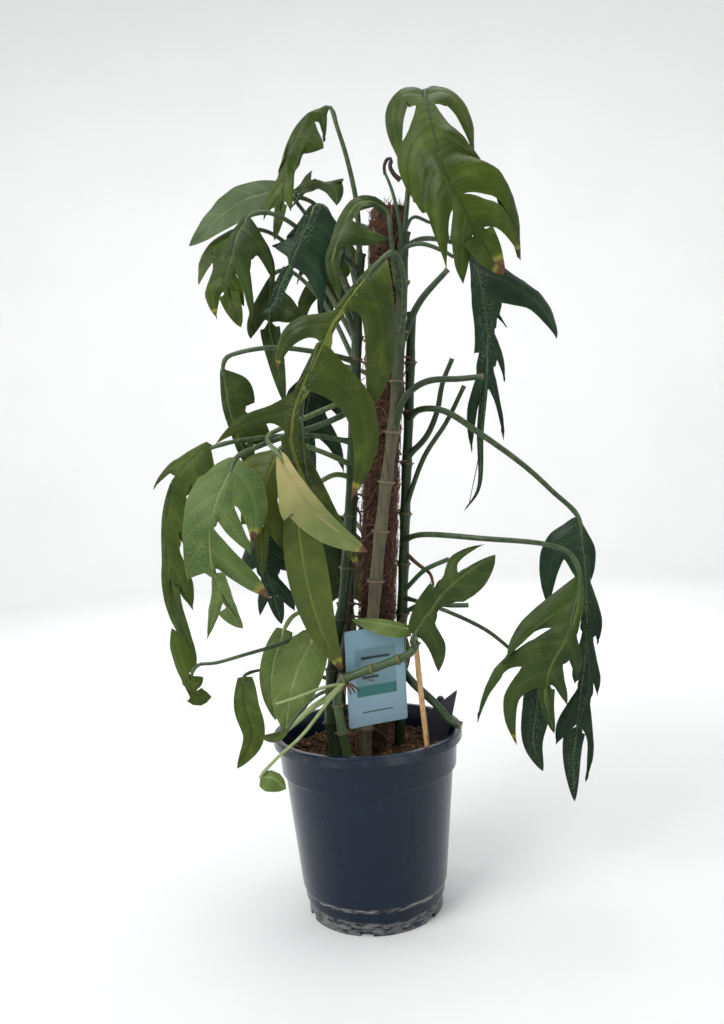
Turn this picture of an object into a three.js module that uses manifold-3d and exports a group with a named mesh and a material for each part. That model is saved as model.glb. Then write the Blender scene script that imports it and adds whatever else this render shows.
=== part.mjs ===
// A potted climbing aroid with split leaves, trained up a coir pole in a dark blue nursery pot.
// Units are millimetres, +Z is up, and the origin is the middle of the pot's flat foot.
import * as THREE from "three";
import { mergeVertices } from "three/addons/utils/BufferGeometryUtils.js";
import Module from "manifold-3d";

const wasm = await Module();
wasm.setup();

// Driving dimensions.
const GAP = 0.35; // clear space between pieces that touch
const POT = { height: 152, rim: 80, rimBand: 8, wall: 1.8, foot: 57, footHeight: 14, floor: 3 };
const SOIL = { top: 134, rough: 2.6 };
const POLE = { radius: 15.4, rough: 0.5, length: 575, bottom: 10, bore: 5, foot: [3.4, 0], lean: 0.0797 };
const COIR_FACETS = { rings: 18, sides: 14 };
const LEAF_THICKNESS = 0.9;
const LOBE_FULLNESS = 1.5; // how much wider a lobe swells than the width it is given by
const EYE = new THREE.Vector3(5, -726, 370); // where the plant's front view is read from
const DOWN = new THREE.Vector3(0, 0, -1);

const COLOURS = {
  pot: 0x1f2a3a,
  soil: 0x3a2a20,
  coir: 0x5b3d28,
  wood: 0xc79a63,
  bark: 0x77705a,
  stem: 0x34502f,
  leaf: 0x44602a,
  youngLeaf: 0x5f7a35,
  darkLeaf: 0x2c4630,
  card: 0x86a6b0,
  black: 0x2b2b30,
};

const plant = new THREE.Group();

// Solids and meshes.

function solidFrom(geometry) {
  const bare = new THREE.BufferGeometry();
  bare.setAttribute("position", geometry.getAttribute("position"));
  if (geometry.index) bare.setIndex(geometry.index);
  const merged = mergeVertices(bare, 1e-4);
  return new wasm.Manifold(
    new wasm.Mesh({
      numProp: 3,
      vertProperties: new Float32Array(merged.getAttribute("position").array),
      triVerts: new Uint32Array(merged.index.array),
    }),
  );
}

function addPiece(name, solid, colour, roughness = 0.6) {
  const { vertProperties, triVerts } = solid.getMesh();
  const geometry = new THREE.BufferGeometry();
  geometry.setAttribute("position", new THREE.BufferAttribute(vertProperties, 3));
  geometry.setIndex(new THREE.BufferAttribute(triVerts, 1));
  const material = new THREE.MeshStandardMaterial({ color: colour, roughness, metalness: 0 });
  const mesh = new THREE.Mesh(geometry, material);
  mesh.name = name;
  plant.add(mesh);
}

function indexedGeometry(points, faces) {
  const geometry = new THREE.BufferGeometry();
  const numbers = points.flatMap((p) => p.toArray());
  geometry.setAttribute("position", new THREE.Float32BufferAttribute(numbers, 3));
  geometry.setIndex(faces.flat());
  return geometry;
}

// A point of the front view: x and z as they are seen on the plane of the pole, and how far the point
// stands out of that plane towards the eye. It moves along the line of sight to its depth.
function seen([x, z, out]) {
  const nearer = (-EYE.y - out) / -EYE.y;
  return new THREE.Vector3(EYE.x + (x - EYE.x) * nearer, -out, EYE.z + (z - EYE.z) * nearer);
}

const curveThrough = (points) => new THREE.CatmullRomCurve3(points, false, "centripetal");
const smooth = (t) => t * t * (3 - 2 * t);
const clamp = (t) => Math.min(1, Math.max(0, t));

// A closed round limb along a curve, with a ring at each station from 0 to 1 and a radius for each ring.
function limb(curve, stations, radiusAt, sides) {
  const frames = curve.computeFrenetFrames(200, false);
  const points = [];
  const faces = [];
  stations.forEach((u) => {
    const centre = curve.getPointAt(u);
    const k = Math.round(u * 200);
    for (let i = 0; i < sides; i++) {
      const turn = (2 * Math.PI * i) / sides;
      points.push(
        centre
          .clone()
          .addScaledVector(frames.normals[k], radiusAt(u) * Math.cos(turn))
          .addScaledVector(frames.binormals[k], radiusAt(u) * Math.sin(turn)),
      );
    }
  });
  for (let ring = 0; ring + 1 < stations.length; ring++)
    for (let i = 0; i < sides; i++) {
      const next = (i + 1) % sides;
      const [a, b] = [ring * sides + i, ring * sides + next];
      faces.push([a, b, b + sides], [a, b + sides, a + sides]);
    }
  const last = (stations.length - 1) * sides;
  for (let i = 1; i + 1 < sides; i++) {
    faces.push([0, i + 1, i]);
    faces.push([last, last + i, last + i + 1]);
  }
  return solidFrom(indexedGeometry(points, faces));
}

const evenly = (count) => Array.from({ length: count + 1 }, (_, i) => i / count);

function taperedLimb(points, r0, r1, sides = 5, spacing = 20) {
  const curve = curveThrough(points);
  const rings = Math.max(3, Math.round(curve.getLength() / spacing));
  return limb(curve, evenly(rings), (u) => r0 + (r1 - r0) * u, sides);
}

// The pot: a lathe-turned shell with a rolled rim, a shoulder, a stepped foot and drain holes.

const POT_TURNS = 28;
const SHOULDER = { below: 120, above: 121.8, radius: 72.2 }; // the step on the inside of the wall
const potInside = (z) => 55.4 + ((z - POT.floor) * 13.9) / (SHOULDER.below - POT.floor);

function turned(profile, turns = POT_TURNS) {
  const points = profile.map(([r, z]) => new THREE.Vector2(r, z));
  const geometry = new THREE.LatheGeometry(points, turns);
  geometry.rotateX(Math.PI / 2);
  return solidFrom(geometry);
}

function potSolid() {
  const { height, rim, rimBand, wall, foot, footHeight, floor } = POT;
  const inner = [
    [0, floor],
    [potInside(floor), floor],
    [potInside(SHOULDER.below), SHOULDER.below],
    [SHOULDER.radius, SHOULDER.above],
    [76.4 - wall, height],
  ];
  const outer = [
    [rim - 0.6, height],
    [rim, height - 1],
    [rim, height - rimBand],
    [rim - 1.6, height - rimBand],
    [rim - 1.8, height - 3],
    [76, height - 3],
    [74, 121],
    [71.2, 119],
    [61.5, 24],
    [60, 22.5],
    [59.4, footHeight],
    [foot, footHeight - 1.2],
    [foot, 0],
    [0, 0],
  ];
  let pot = turned([...inner, ...outer].reverse());
  const lug = new THREE.CylinderGeometry(2.4, 2.4, 13, 8).rotateX(Math.PI / 2).translate(76.6, 0, 154);
  const head = new THREE.SphereGeometry(3.6, 8, 6).translate(76.6, 0, 162);
  for (const piece of [lug, head]) pot = pot.add(solidFrom(piece.rotateZ(0.52)));
  const holes = 6;
  for (let i = 0; i < holes; i++) {
    const hole = new THREE.BoxGeometry(9, 11, 8);
    hole.translate(foot - 1.5, 0, 0);
    hole.rotateZ((2 * Math.PI * (i + 0.35)) / holes);
    pot = pot.subtract(solidFrom(hole));
  }
  return pot;
}

// The coir pole: a rough fibre sleeve round a wooden core, leaning a little to the right.

function poleCurve(from, to) {
  const at = (z) => new THREE.Vector3(POLE.foot[0] + POLE.lean * (z - 125), POLE.foot[1], z);
  return new THREE.LineCurve3(at(from), at(to));
}

function roughTube(curve, rings, sides, radius, relief) {
  const centre = (u) => curve.getPoint(u);
  const points = [];
  const faces = [];
  for (let ring = 0; ring <= rings; ring++)
    for (let i = 0; i < sides; i++) {
      const turn = (2 * Math.PI * i) / sides;
      const bump = Math.sin(3 * turn + ring * 1.7) * Math.cos(5 * turn - ring * 2.3);
      const r = radius + relief * bump;
      const p = centre(ring / rings);
      points.push(new THREE.Vector3(p.x + r * Math.cos(turn), p.y + r * Math.sin(turn), p.z));
    }
  for (let ring = 0; ring < rings; ring++)
    for (let i = 0; i < sides; i++) {
      const [a, b] = [ring * sides + i, ring * sides + ((i + 1) % sides)];
      faces.push([a, b, b + sides], [a, b + sides, a + sides]);
    }
  const last = rings * sides;
  for (let i = 1; i + 1 < sides; i++) {
    faces.push([0, i + 1, i]);
    faces.push([last, last + i, last + i + 1]);
  }
  return solidFrom(indexedGeometry(points, faces));
}

const poleTop = POLE.bottom + POLE.length;
const straightRod = (from, to, radius, sides) => roughTube(poleCurve(from, to), 1, sides, radius, 0);

// The stems climb against the pole. Each has swollen nodes, and stubs where old leaves were cut.

const STEM_SIDES = 6;

function climbingStem({ path, radius, internodes, stubs = [], grow = 0 }) {
  const curve = curveThrough(path.map(seen));
  const stations = [];
  for (let i = 0; i < internodes; i++)
    for (const part of [0, 0.1, 0.9]) stations.push((i + part) / internodes);
  stations.push(1);
  const radiusAt = (u) => {
    const fromNode = Math.abs(u * internodes - Math.round(u * internodes));
    const swelling = fromNode < 0.05 ? 1.2 : 1;
    return radius * (1 - 0.2 * u) * swelling + grow;
  };
  let stem = limb(curve, stations, radiusAt, STEM_SIDES);
  for (const { points, r } of stubs)
    stem = stem.add(taperedLimb(points.map(seen), r[0] + grow, r[1] + grow, 6, 16));
  return stem;
}

const STEMS = {
  stem_front: {
    path: [
      [-3, 110, 24], [-2, 150, 26], [3, 200, 25], [10, 250, 24], [17, 300, 23.5], [25, 350, 24],
      [34, 400, 24], [41, 450, 22.5], [46, 500, 20.5], [50, 545, 19], [52, 566, 18.5],
    ],
    radius: 5.6,
    internodes: 11,
    colour: COLOURS.bark,
    stubs: [
      { points: [[46, 478, 20], [62, 508, 26], [87, 534, 34]], r: [3.4, 2.2] },
      { points: [
        [34, 398, 24], [46, 430, 30], [64, 442, 32], [94, 443, 40], [112, 444, 48],
      ], r: [3.2, 2.2] },
    ],
  },
  stem_right: {
    path: [
      [26, 122, -9], [28, 160, -7], [31, 210, -6], [35.5, 260, -6], [39.5, 310, -7], [43.5, 360, -8],
      [48, 410, -9], [52, 460, -10], [55, 500, -10],
    ],
    radius: 4.8,
    internodes: 9,
    colour: COLOURS.stem,
    stubs: [
      { points: [[45, 380, -8], [62, 396, 0], [72, 416, 4], [78, 440, 6], [87, 460, 8]], r: [2.8, 1.9] },
      { points: [[41.5, 337, -7], [60, 380, 8], [80, 408, 14], [96, 437, 20]], r: [2.3, 1.8] },
      { points: [
        [30.5, 203, -6], [40, 189, 12], [60, 168, 26], [71, 154, 32], [80, 149, 36],
      ], r: [3.6, 3.2] },
    ],
  },
  stem_left: {
    path: [
      [-25, 112, 20], [-31, 160, 16], [-26, 210, 10], [-15, 260, 7], [-8, 310, 6], [-3, 360, 5],
      [1.5, 410, 4], [6, 460, 4], [10.5, 510, 4], [15, 550, 4],
    ],
    radius: 4.8,
    internodes: 10,
    colour: COLOURS.stem,
    stubs: [{ points: [[9, 500, 4], [-1, 516, 6], [-7, 533, 8]], r: [3, 2.4] }],
  },
  stem_left_back: {
    path: [
      [-20, 122, -4], [-22, 170, -8], [-14, 230, -12], [-7, 290, -13], [-2, 350, -13], [3, 410, -13],
      [8, 470, -13], [12, 526, -13],
    ],
    radius: 4.6,
    internodes: 9,
    colour: COLOURS.bark,
  },
  stem_back: {
    path: [
      [8, 122, -26], [10, 170, -24], [14, 230, -22.5], [20, 300, -22.5], [26, 370, -22.5],
      [32, 440, -22.5], [38, 510, -22.5], [42, 560, -22.5],
    ],
    radius: 4.8,
    internodes: 10,
    colour: COLOURS.bark,
  },
  stem_runner: {
    path: [
      [-14, 103, 38], [-18, 130, 42], [-23, 160, 46], [-24, 180, 46], [-19, 193, 46], [-4, 199, 47],
      [16, 205, 47],
      [40, 214, 46], [46, 224, 44],
    ],
    radius: 4,
    internodes: 7,
    colour: COLOURS.stem,
  },
};

// A leaf is a thin sheet round a midrib. Its sides are cut into lobes at the same stations, named "cuts".
// A lobe is [tip x, tip z, tip out, width, lean, swing]. It leaves the midrib at lean degrees ahead of
// square, and swing says how far it runs that way before it turns to its tip. "fused" is how far out two
// neighbours are one sheet, for the whole leaf or for each border in turn.
// A plain side is [half width, droop].

const ROWS = [0, 0.22, 0.48, 0.78, 1];
const COLUMNS = [0, 0.5, 1];

function lobeShape(frame, from, to, [x, z, out, mean, lean = 35, swing = 0.5], side, fused) {
  const width = mean * LOBE_FULLNESS;
  const root = frame.point((from + to) / 2);
  const tip = seen([x, z, out]);
  const along = frame.tangent((from + to) / 2);
  const normal = frame.normal((from + to) / 2);
  const outward = new THREE.Vector3().crossVectors(along, normal).multiplyScalar(side);
  const angle = THREE.MathUtils.degToRad(lean);
  const start = outward.clone().multiplyScalar(Math.cos(angle)).addScaledVector(along, Math.sin(angle));
  const turnPoint = root.clone().addScaledVector(start, swing * root.distanceTo(tip));
  const curve = new THREE.QuadraticBezierCurve3(root, turnPoint, tip);
  const axis = new THREE.Vector3().crossVectors(start, tip.clone().sub(turnPoint));
  if (axis.lengthSq() < 1e-6) axis.copy(normal);
  axis.normalize();
  const across0 = new THREE.Vector3().crossVectors(normal, start).normalize();
  if (across0.dot(along) < 0) across0.negate();
  const onAxis = across0.dot(axis);
  const offAxis = across0.dot(new THREE.Vector3().crossVectors(axis, start));
  const rootHalf = frame.point(to).sub(frame.point(from)).multiplyScalar(0.5);
  return (c, t) => {
    if (t === 0) return frame.point(from + (to - from) * c);
    const heading = curve.getTangent(t);
    const across = axis.clone().multiplyScalar(onAxis);
    across.addScaledVector(new THREE.Vector3().crossVectors(axis, heading), offAxis);
    const up = new THREE.Vector3().crossVectors(heading, across).multiplyScalar(-side);
    const taper = Math.pow(1 - Math.pow(t, 3.2), 0.8);
    const settle = smooth(clamp(t / Math.max(fused, 0.3)));
    const half = rootHalf.clone().lerp(across.multiplyScalar(width / 2), settle).multiplyScalar(taper);
    const q = 2 * c - 1;
    const arch = 0.14 * width * taper * q * q * settle;
    return curve.getPoint(t).addScaledVector(half, q).addScaledVector(up, arch);
  };
}

function plainShape(frame, from, to, [halfWidth, droop = 0.3], side) {
  const whole = from === 0 && to === 1;
  return (c, t) => {
    const s = from + (to - from) * c;
    let half = halfWidth;
    if (whole) half *= Math.pow(Math.sin(Math.PI * Math.pow(0.1 + 0.9 * s, 0.8)), 0.75);
    else if (to === 1) half *= Math.pow(1 - Math.pow(c, 1.8), 0.75);
    else if (from === 0) half *= 0.4 + 0.6 * Math.sqrt(c);
    const outward = new THREE.Vector3().crossVectors(frame.tangent(s), frame.normal(s));
    outward.multiplyScalar(side);
    return frame.point(s).addScaledVector(outward, half * t).addScaledVector(DOWN, half * droop * t * t);
  };
}

function leafFrame({ midrib, face, faceEnd = face }) {
  const curve = curveThrough(midrib.map(seen));
  const [face0, face1] = [new THREE.Vector3(...face), new THREE.Vector3(...faceEnd)];
  return {
    point: (s) => curve.getPointAt(s),
    tangent: (s) => curve.getTangentAt(s),
    normal: (s) => {
      const along = curve.getTangentAt(s);
      const up = face0.clone().lerp(face1, s);
      return up.addScaledVector(along, -up.dot(along)).normalize();
    },
  };
}

function sheetOf(leaf) {
  const frame = leafFrame(leaf);
  const fused = [leaf.fused ?? 0.3].flat();
  const fusedAfter = (i) => fused[Math.min(Math.max(i, 0), fused.length - 1)];
  const isPlain = (shape) => shape && shape.length <= 2;
  const starts = [0, ...leaf.cuts.slice(0, -1)];
  const points = [];
  const faces = [];
  const add = (p) => points.push(p) - 1;
  const ribColumns = leaf.cuts.map((to, i) => COLUMNS.map((c) => starts[i] + (to - starts[i]) * c));
  const rib = new Map();
  ribColumns.flat().forEach((s) => {
    if (!rib.has(s)) rib.set(s, add(frame.point(s)));
  });
  leaf.sides.forEach((side, which) => {
    const sign = which === 0 ? -1 : 1;
    const shapes = side.map((shape, i) =>
      shape.length > 2
        ? lobeShape(frame, starts[i], leaf.cuts[i], shape, sign, Math.min(fusedAfter(i - 1), fusedAfter(i)))
        : plainShape(frame, starts[i], leaf.cuts[i], shape, sign),
    );
    let border = null; // the last column of the lobe before, in the rows where the two are one sheet
    shapes.forEach((shape, i) => {
      const pointed = side[i].length > 2;
      const joinedTo = isPlain(side[i]) && isPlain(side[i + 1]) ? 1 : fusedAfter(i);
      const grid = ROWS.map((t, j) =>
        COLUMNS.map((c, k) => {
          if (j === 0) return rib.get(ribColumns[i][k]);
          if (leaf.cuts[i] === 1 && !pointed && k === COLUMNS.length - 1) return rib.get(1);
          if (k === 0 && border && j < border.length) return border[j];
          const joined = k === COLUMNS.length - 1 && i + 1 < shapes.length && (j === 1 || t <= joinedTo);
          const p = shape(c, t);
          return add(joined ? p.lerp(shapes[i + 1](0, t), 0.5) : p);
        }),
      );
      if (pointed) grid[ROWS.length - 1].fill(add(shape(0.5, 1)));
      border = grid.map((row) => row[COLUMNS.length - 1]).filter((_, j) => j < 2 || ROWS[j] <= joinedTo);
      for (let j = 0; j + 1 < ROWS.length; j++)
        for (let k = 0; k + 1 < COLUMNS.length; k++) {
          const [a, b, c, d] = [grid[j][k], grid[j][k + 1], grid[j + 1][k + 1], grid[j + 1][k]];
          for (const face of [[a, b, c], [a, c, d]])
            if (new Set(face).size === 3) faces.push(sign < 0 ? face : [face[0], face[2], face[1]]);
        }
    });
  });
  return { points, faces, ribPoints: rib, frame };
}

// Gives a sheet its thickness: two skins stand off along the sheet's own normals and join all round.
function thicken({ points, faces, ribPoints }, thickness, ribExtra) {
  const normals = points.map(() => new THREE.Vector3());
  for (const [a, b, c] of faces) {
    const n = new THREE.Vector3().subVectors(points[b], points[a]).cross(points[c].clone().sub(points[a]));
    for (const i of [a, b, c]) normals[i].add(n);
  }
  normals.forEach((n) => n.normalize());
  const below = points.map(() => thickness / 2);
  ribPoints.forEach((index, s) => (below[index] += ribExtra * (1 - 0.8 * s)));
  const upper = points.map((p, i) => p.clone().addScaledVector(normals[i], thickness / 2));
  const lower = points.map((p, i) => p.clone().addScaledVector(normals[i], -below[i]));
  const n = points.length;
  const closed = [...faces, ...faces.map(([a, b, c]) => [a + n, c + n, b + n])];
  const edges = new Set(faces.flatMap(([a, b, c]) => [`${a},${b}`, `${b},${c}`, `${c},${a}`]));
  for (const edge of edges) {
    const [a, b] = edge.split(",").map(Number);
    if (!edges.has(`${b},${a}`)) closed.push([b, a, a + n], [b, a + n, b + n]);
  }
  return solidFrom(indexedGeometry([...upper, ...lower], closed));
}

function leafSolid(leaf) {
  const sheet = sheetOf(leaf);
  const [r0, r1] = leaf.petioleRadius ?? [2.4, 1.7];
  const { point, normal } = sheet.frame;
  const sunk = point(0.1).addScaledVector(normal(0.1), -1.5);
  const stalk = taperedLimb([...leaf.petiole.map(seen), point(0), sunk], r0, r1);
  return thicken(sheet, LEAF_THICKNESS, 0.7).add(stalk);
}

const leaves = [];
const leaf = (shape) => leaves.push(shape);

leaf({
  name: "leaf_top_right", grows: "stem_front", colour: "youngLeaf",
  petiole: [[51, 556, 16], [57, 600, 14], [64, 650, 10]],
  midrib: [
    [74, 681, 22], [79, 656, 38], [84, 631, 48], [91, 607, 55], [101, 588, 58], [109, 568, 58],
    [120, 549, 56], [133, 527, 50],
  ],
  face: [0.1, -1, 0.15], cuts: [0.08, 0.44, 0.6, 0.78, 1], fused: [0.1, 0.8, 0.3, 0.3],
  sides: [
    [
      [113, 627, 20, 19, -32, 0.74], [118, 622, 38, 18, 24, 0.4], [148, 538, 44, 23, -14, 0.88],
      [148, 541, 50, 12, 6, 0.66], [15, 0.1],
    ],
    [
      [53, 622, 22, 18, -36, 0.78], [60, 594, 40, 19, 12, 0.52], [86, 533, 52, 15, 30, 0.42],
      [99, 521, 53, 14, 46, 0.34], [13, 0.1],
    ],
  ],
});
leaf({
  name: "leaf_right_hanging", grows: "stem_front", colour: "darkLeaf",
  petiole: [[50, 553, 17], [66, 560, 6], [88, 557, -6]],
  midrib: [
    [109, 549, -4], [115, 515, 14], [118, 480, 20], [114, 444, 20], [108, 400, 18], [104, 350, 16],
    [91, 332, 14],
  ],
  face: [0.15, -1, 0.1], cuts: [0.18, 0.3, 0.42, 0.54, 1], fused: 0.3,
  sides: [
    [
      [175, 472, -2, 16, 25, 0.72], [134, 483, 8, 4, 40, 0.5], [130, 438, 14, 6, 40, 0.4],
      [127, 390, 12, 5, 50, 0.35], [3.2, 0],
    ],
    [[8, 0.1], [11, 0.1], [11, 0.1], [100, 380, 12, 8, 60, 0.4], [3.2, 0]],
  ],
});
leaf({
  name: "leaf_top_left", grows: "stem_left", colour: "youngLeaf",
  petiole: [[14, 546, 4], [14, 590, 8], [8, 628, 10], [1, 655, 12]],
  midrib: [[-4, 671, 12], [-20, 667, 18], [-33, 650, 24], [-41, 628, 28], [-48, 598, 28], [-56, 565, 26]],
  face: [-0.4, -1, 0.5], faceEnd: [-0.2, -1, 0.1], cuts: [0.14, 0.5, 0.76, 1], fused: 0.35,
  sides: [
    [[-10, 643, 16, 6, 10, 0.3], [-11, 638, 26, 20, 0, 0.4], [-41, 588, 32, 8, 60, 0.3], [5, 0.2]],
    [[3, 0.2], [7, 0.4], [-64, 582, 26, 9, 40, 0.4], [5, 0.2]],
  ],
});
leaf({
  name: "leaf_top_left_side", grows: "stem_left_back", colour: "leaf",
  petiole: [[11.5, 516, -13], [0, 566, -20], [-22, 594, -12]],
  midrib: [[-38, 602, 0], [-25, 613, 6], [-12, 610, 10], [4, 613, 12]],
  face: [0, -0.9, 0.9], cuts: [0.5, 1], fused: 0.3,
  sides: [
    [[-22, 621, 2, 10, 20, 0.3], [5, 0.3]],
    [[-42, 590, 12, 9, 0, 0.3], [-3, 591, 16, 12, 40, 0.4]],
  ],
});
leaf({
  name: "leaf_left_upper", grows: "stem_left_back", colour: "leaf",
  petiole: [[10, 498, -13], [-12, 556, -30], [-32, 590, -28]],
  midrib: [[-46, 606, -18], [-76, 601, -10], [-102, 586, -6], [-127, 564, -6]],
  face: [-0.3, -1, 0.4], cuts: [1], fused: 0.35,
  sides: [[[15, 0.3]], [[15, -0.1]]],
});
leaf({
  name: "leaf_left_lobed", grows: "stem_left_back", colour: "youngLeaf",
  petiole: [[8.5, 476, -13], [-26, 540, -34], [-60, 572, -24]],
  midrib: [[-82, 574, -8], [-95, 560, 2], [-98, 534, 6], [-88, 495, 6]],
  face: [-0.3, -1, 0.3], cuts: [0.35, 0.66, 1], fused: 0.4,
  sides: [
    [[-78, 540, 0, 14, 20, 0.3], [-84, 512, 4, 10, 40, 0.3], [9, 0.1]],
    [[-121, 532, 0, 19, -12, 0.66], [-108, 503, 2, 14, 5, 0.56], [9, 0.1]],
  ],
});
leaf({
  name: "leaf_left_mid", grows: "stem_left", colour: "leaf",
  petiole: [[8, 482, 4], [-12, 536, 18], [-36, 574, 28], [-60, 588, 36]],
  midrib: [[-76, 586, 38], [-86, 572, 42], [-92, 553, 43], [-102, 530, 40]],
  face: [-0.2, -1, 0.3], cuts: [0.4, 0.72, 1], fused: 0.35,
  sides: [
    [[-58, 530, 30, 10, 5, 0.5], [-78, 488, 32, 7, 40, 0.4], [5, 0.1]], [[6, 0.1], [7, 0.1], [6, 0.1]],
  ],
});
leaf({
  name: "leaf_left_dark", grows: "stem_left", colour: "darkLeaf",
  petiole: [[13, 536, 4], [-3, 556, 22], [-7, 576, 30], [-12, 589, 34]],
  midrib: [[-20, 592, 38], [-32, 569, 43], [-42, 548, 45], [-52, 530, 45], [-60, 513, 42], [-70, 505, 38]],
  face: [0.1, -1, 0.25], cuts: [0.3, 0.55, 0.8, 1], fused: [0.8, 0.12, 0.5],
  sides: [
    [[-6, 534, 36, 18, -12, 0.5], [-20, 503, 42, 15, 2, 0.58], [5, 0.2], [4, 0.2]],
    [[8, 0.1], [-59, 561, 38, 10, -25, 0.4], [5, 0.2], [4, 0.2]],
  ],
});
leaf({
  name: "leaf_top_centre", grows: "stem_front", colour: "leaf",
  petiole: [[47.5, 510, 19], [43, 528, 34], [41, 560, 36]],
  midrib: [
    [39, 583, 36], [28, 593, 42], [14, 592, 47], [5, 580, 51], [-3, 563, 54], [-9, 546, 54],
    [-4, 515, 50],
  ],
  face: [-0.2, -0.9, 0.5], cuts: [0.4, 0.62, 1], fused: 0.3,
  petioleRadius: [2.2, 1.6],
  sides: [
    [[7, 0.1], [40, 561, 48, 13, 8, 0.35], [7, 0.2]],
    [[6, -0.2], [7, 0.2], [6, 0.2]],
  ],
});
leaf({
  name: "leaf_centre_front", grows: "stem_front", colour: "leaf",
  petiole: [[43.5, 470, 22], [49, 505, 34], [49, 536, 48], [43, 550, 58]],
  midrib: [
    [35, 547, 66], [16, 528, 80], [-1, 508, 88], [-11, 494, 92], [-20, 478, 94], [-33, 455, 96],
    [-41, 440, 95], [-47, 425, 92], [-51, 405, 84], [-46, 378, 74], [-30, 340, 62], [-8, 305, 52],
    [-1, 288, 46],
  ],
  face: [0.1, -1, 0.35], faceEnd: [0.2, -1, 0.1], cuts: [0.21, 0.31, 0.44, 0.57, 1],
  fused: [0.1, 0.1, 0.1, 0.1],
  petioleRadius: [2.8, 2],
  sides: [
    [[13, 419, 84, 19, 21, 0.46], [3, 0.2], [-4, 346, 88, 18, -2, 0.64], [4, 0.2], [15, 0.1]],
    [[6, 0.2], [-60, 458, 82, 13, 16, 0.71], [5, 0.2], [-115, 399, 80, 10, 18, 0.55], [8, 0.1]],
  ],
});
leaf({
  name: "leaf_centre_pale", grows: "stem_left", colour: "youngLeaf",
  petiole: [[4, 432, 4], [-20, 424, 26], [-52, 412, 40], [-70, 404, 60], [-69, 396, 78]],
  midrib: [[-62, 388, 90], [-55, 370, 96], [-42, 348, 99], [-24, 327, 97], [8, 302, 90]],
  face: [-0.3, -1, 0.1], cuts: [0.42, 1], fused: 0.8,
  sides: [
    [[9, 0.1], [8, 0.1]],
    [[-61, 332, 94, 13, 52, 0.4], [17, 0]],
  ],
});
leaf({
  name: "leaf_left_strip", grows: "stem_left", colour: "darkLeaf",
  petiole: [[6, 462, 4], [-20, 470, 22], [-62, 477, 30], [-92, 474, 28], [-102, 470, 24]],
  midrib: [[-105, 462, 22], [-102, 430, 24], [-94, 400, 22], [-86, 374, 16]],
  face: [-0.1, -1, 0.15], cuts: [0.35, 0.7, 1], fused: 0.5,
  sides: [
    [[-80, 432, 20, 20, 30, 0.4], [-68, 400, 18, 22, 30, 0.4], [10, 0.1]],
    [[5, 0.1], [5, 0.1], [5, 0.1]],
  ],
});
leaf({
  name: "leaf_left_back", grows: "stem_left_back", colour: "leaf",
  petiole: [[7, 458, -13], [-18, 512, -40], [-46, 540, -44]],
  midrib: [[-60, 536, -34], [-64, 500, -26], [-60, 466, -24], [-55, 430, -24]],
  face: [-0.2, -1, 0.2], cuts: [0.4, 1], fused: 0.35,
  sides: [[[-38, 498, -26, 18, 30, 0.4], [9, 0.1]], [[-80, 485, -28, 13, 30, 0.4], [9, 0.1]]],
});
leaf({
  name: "leaf_lower_left_front", grows: "stem_left", colour: "leaf",
  petiole: [[3, 422, 4], [-22, 412, 42], [-58, 402, 56], [-80, 395, 62]],
  midrib: [
    [-98, 387, 66], [-106, 372, 75], [-114, 358, 80], [-120, 342, 84], [-124, 325, 86],
    [-125, 306, 86], [-123, 292, 86], [-119, 277, 84], [-113, 262, 80], [-101, 242, 76],
  ],
  face: [-0.15, -1, 0.3], faceEnd: [-0.2, -1, 0], cuts: [0.15, 0.4, 0.65, 0.85, 1],
  fused: [0.4, 0.12, 0.12, 0.12],
  petioleRadius: [2.6, 2],
  sides: [
    [
      [-88, 317, 80, 17, 20, 0.55], [-90, 304, 82, 10, 47, 0.35], [-76, 266, 78, 14, 40, 0.42],
      [8, 0.1], [5, 0.1],
    ],
    [[24, 0.3], [24, 0.15], [21, 0.1], [-132, 234, 72, 7, 55, 0.4], [9, 0.1]],
  ],
});
leaf({
  name: "leaf_far_left", grows: "stem_left", colour: "leaf",
  petiole: [[0, 395, 5], [-34, 402, 22], [-86, 402, 36]],
  midrib: [
    [-116, 397, 38], [-140, 385, 34], [-157, 352, 28], [-162, 310, 26], [-160, 268, 26], [-142, 216, 24],
  ],
  face: [-0.4, -0.9, 0.4], faceEnd: [-0.5, -1, 0], cuts: [0.24, 0.44, 0.66, 1], fused: 0.4,
  sides: [
    [[-130, 346, 36, 24, 10, 0.4], [-138, 308, 32, 20, 20, 0.4], [-143, 260, 30, 16, 40, 0.35], [10, 0.1]],
    [[-170, 364, 24, 7, 40, 0.4], [5, 0.1], [5, 0.1], [8, 0.1]],
  ],
});
leaf({
  name: "leaf_far_left_low", grows: "stem_left", colour: "darkLeaf", petioleRadius: [1.8, 1.3],
  petiole: [
    [-18, 247, 8], [-40, 240, 14], [-68, 228, 36], [-100, 220, 48], [-126, 214, 50], [-141, 213, 50],
  ],
  midrib: [[-147, 205, 46], [-149, 194, 46], [-143, 187, 44], [-131, 185, 42]],
  face: [-0.3, -1, 0.2], cuts: [0.5, 1], fused: 0.4,
  sides: [[[-137, 202, 44, 9, 10, 0.3], [8, 0.1]], [[-161, 246, 42, 15, -60, 0.3], [8, 0.2]]],
});
leaf({
  name: "leaf_left_light", grows: "stem_left", colour: "youngLeaf",
  petiole: [[-2, 376, 5], [-26, 388, 28], [-48, 396, 36]],
  midrib: [[-62, 392, 40], [-74, 366, 46], [-80, 332, 46], [-82, 284, 42]],
  face: [0, -1, 0.3], cuts: [0.3, 0.6, 1], fused: 0.35,
  sides: [
    [[-48, 366, 42, 18, 10, 0.4], [-64, 308, 46, 15, 40, 0.4], [6, 0.1]],
    [[-98, 372, 42, 18, 0, 0.4], [-98, 330, 44, 16, 30, 0.4], [6, 0.1]],
  ],
});
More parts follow.
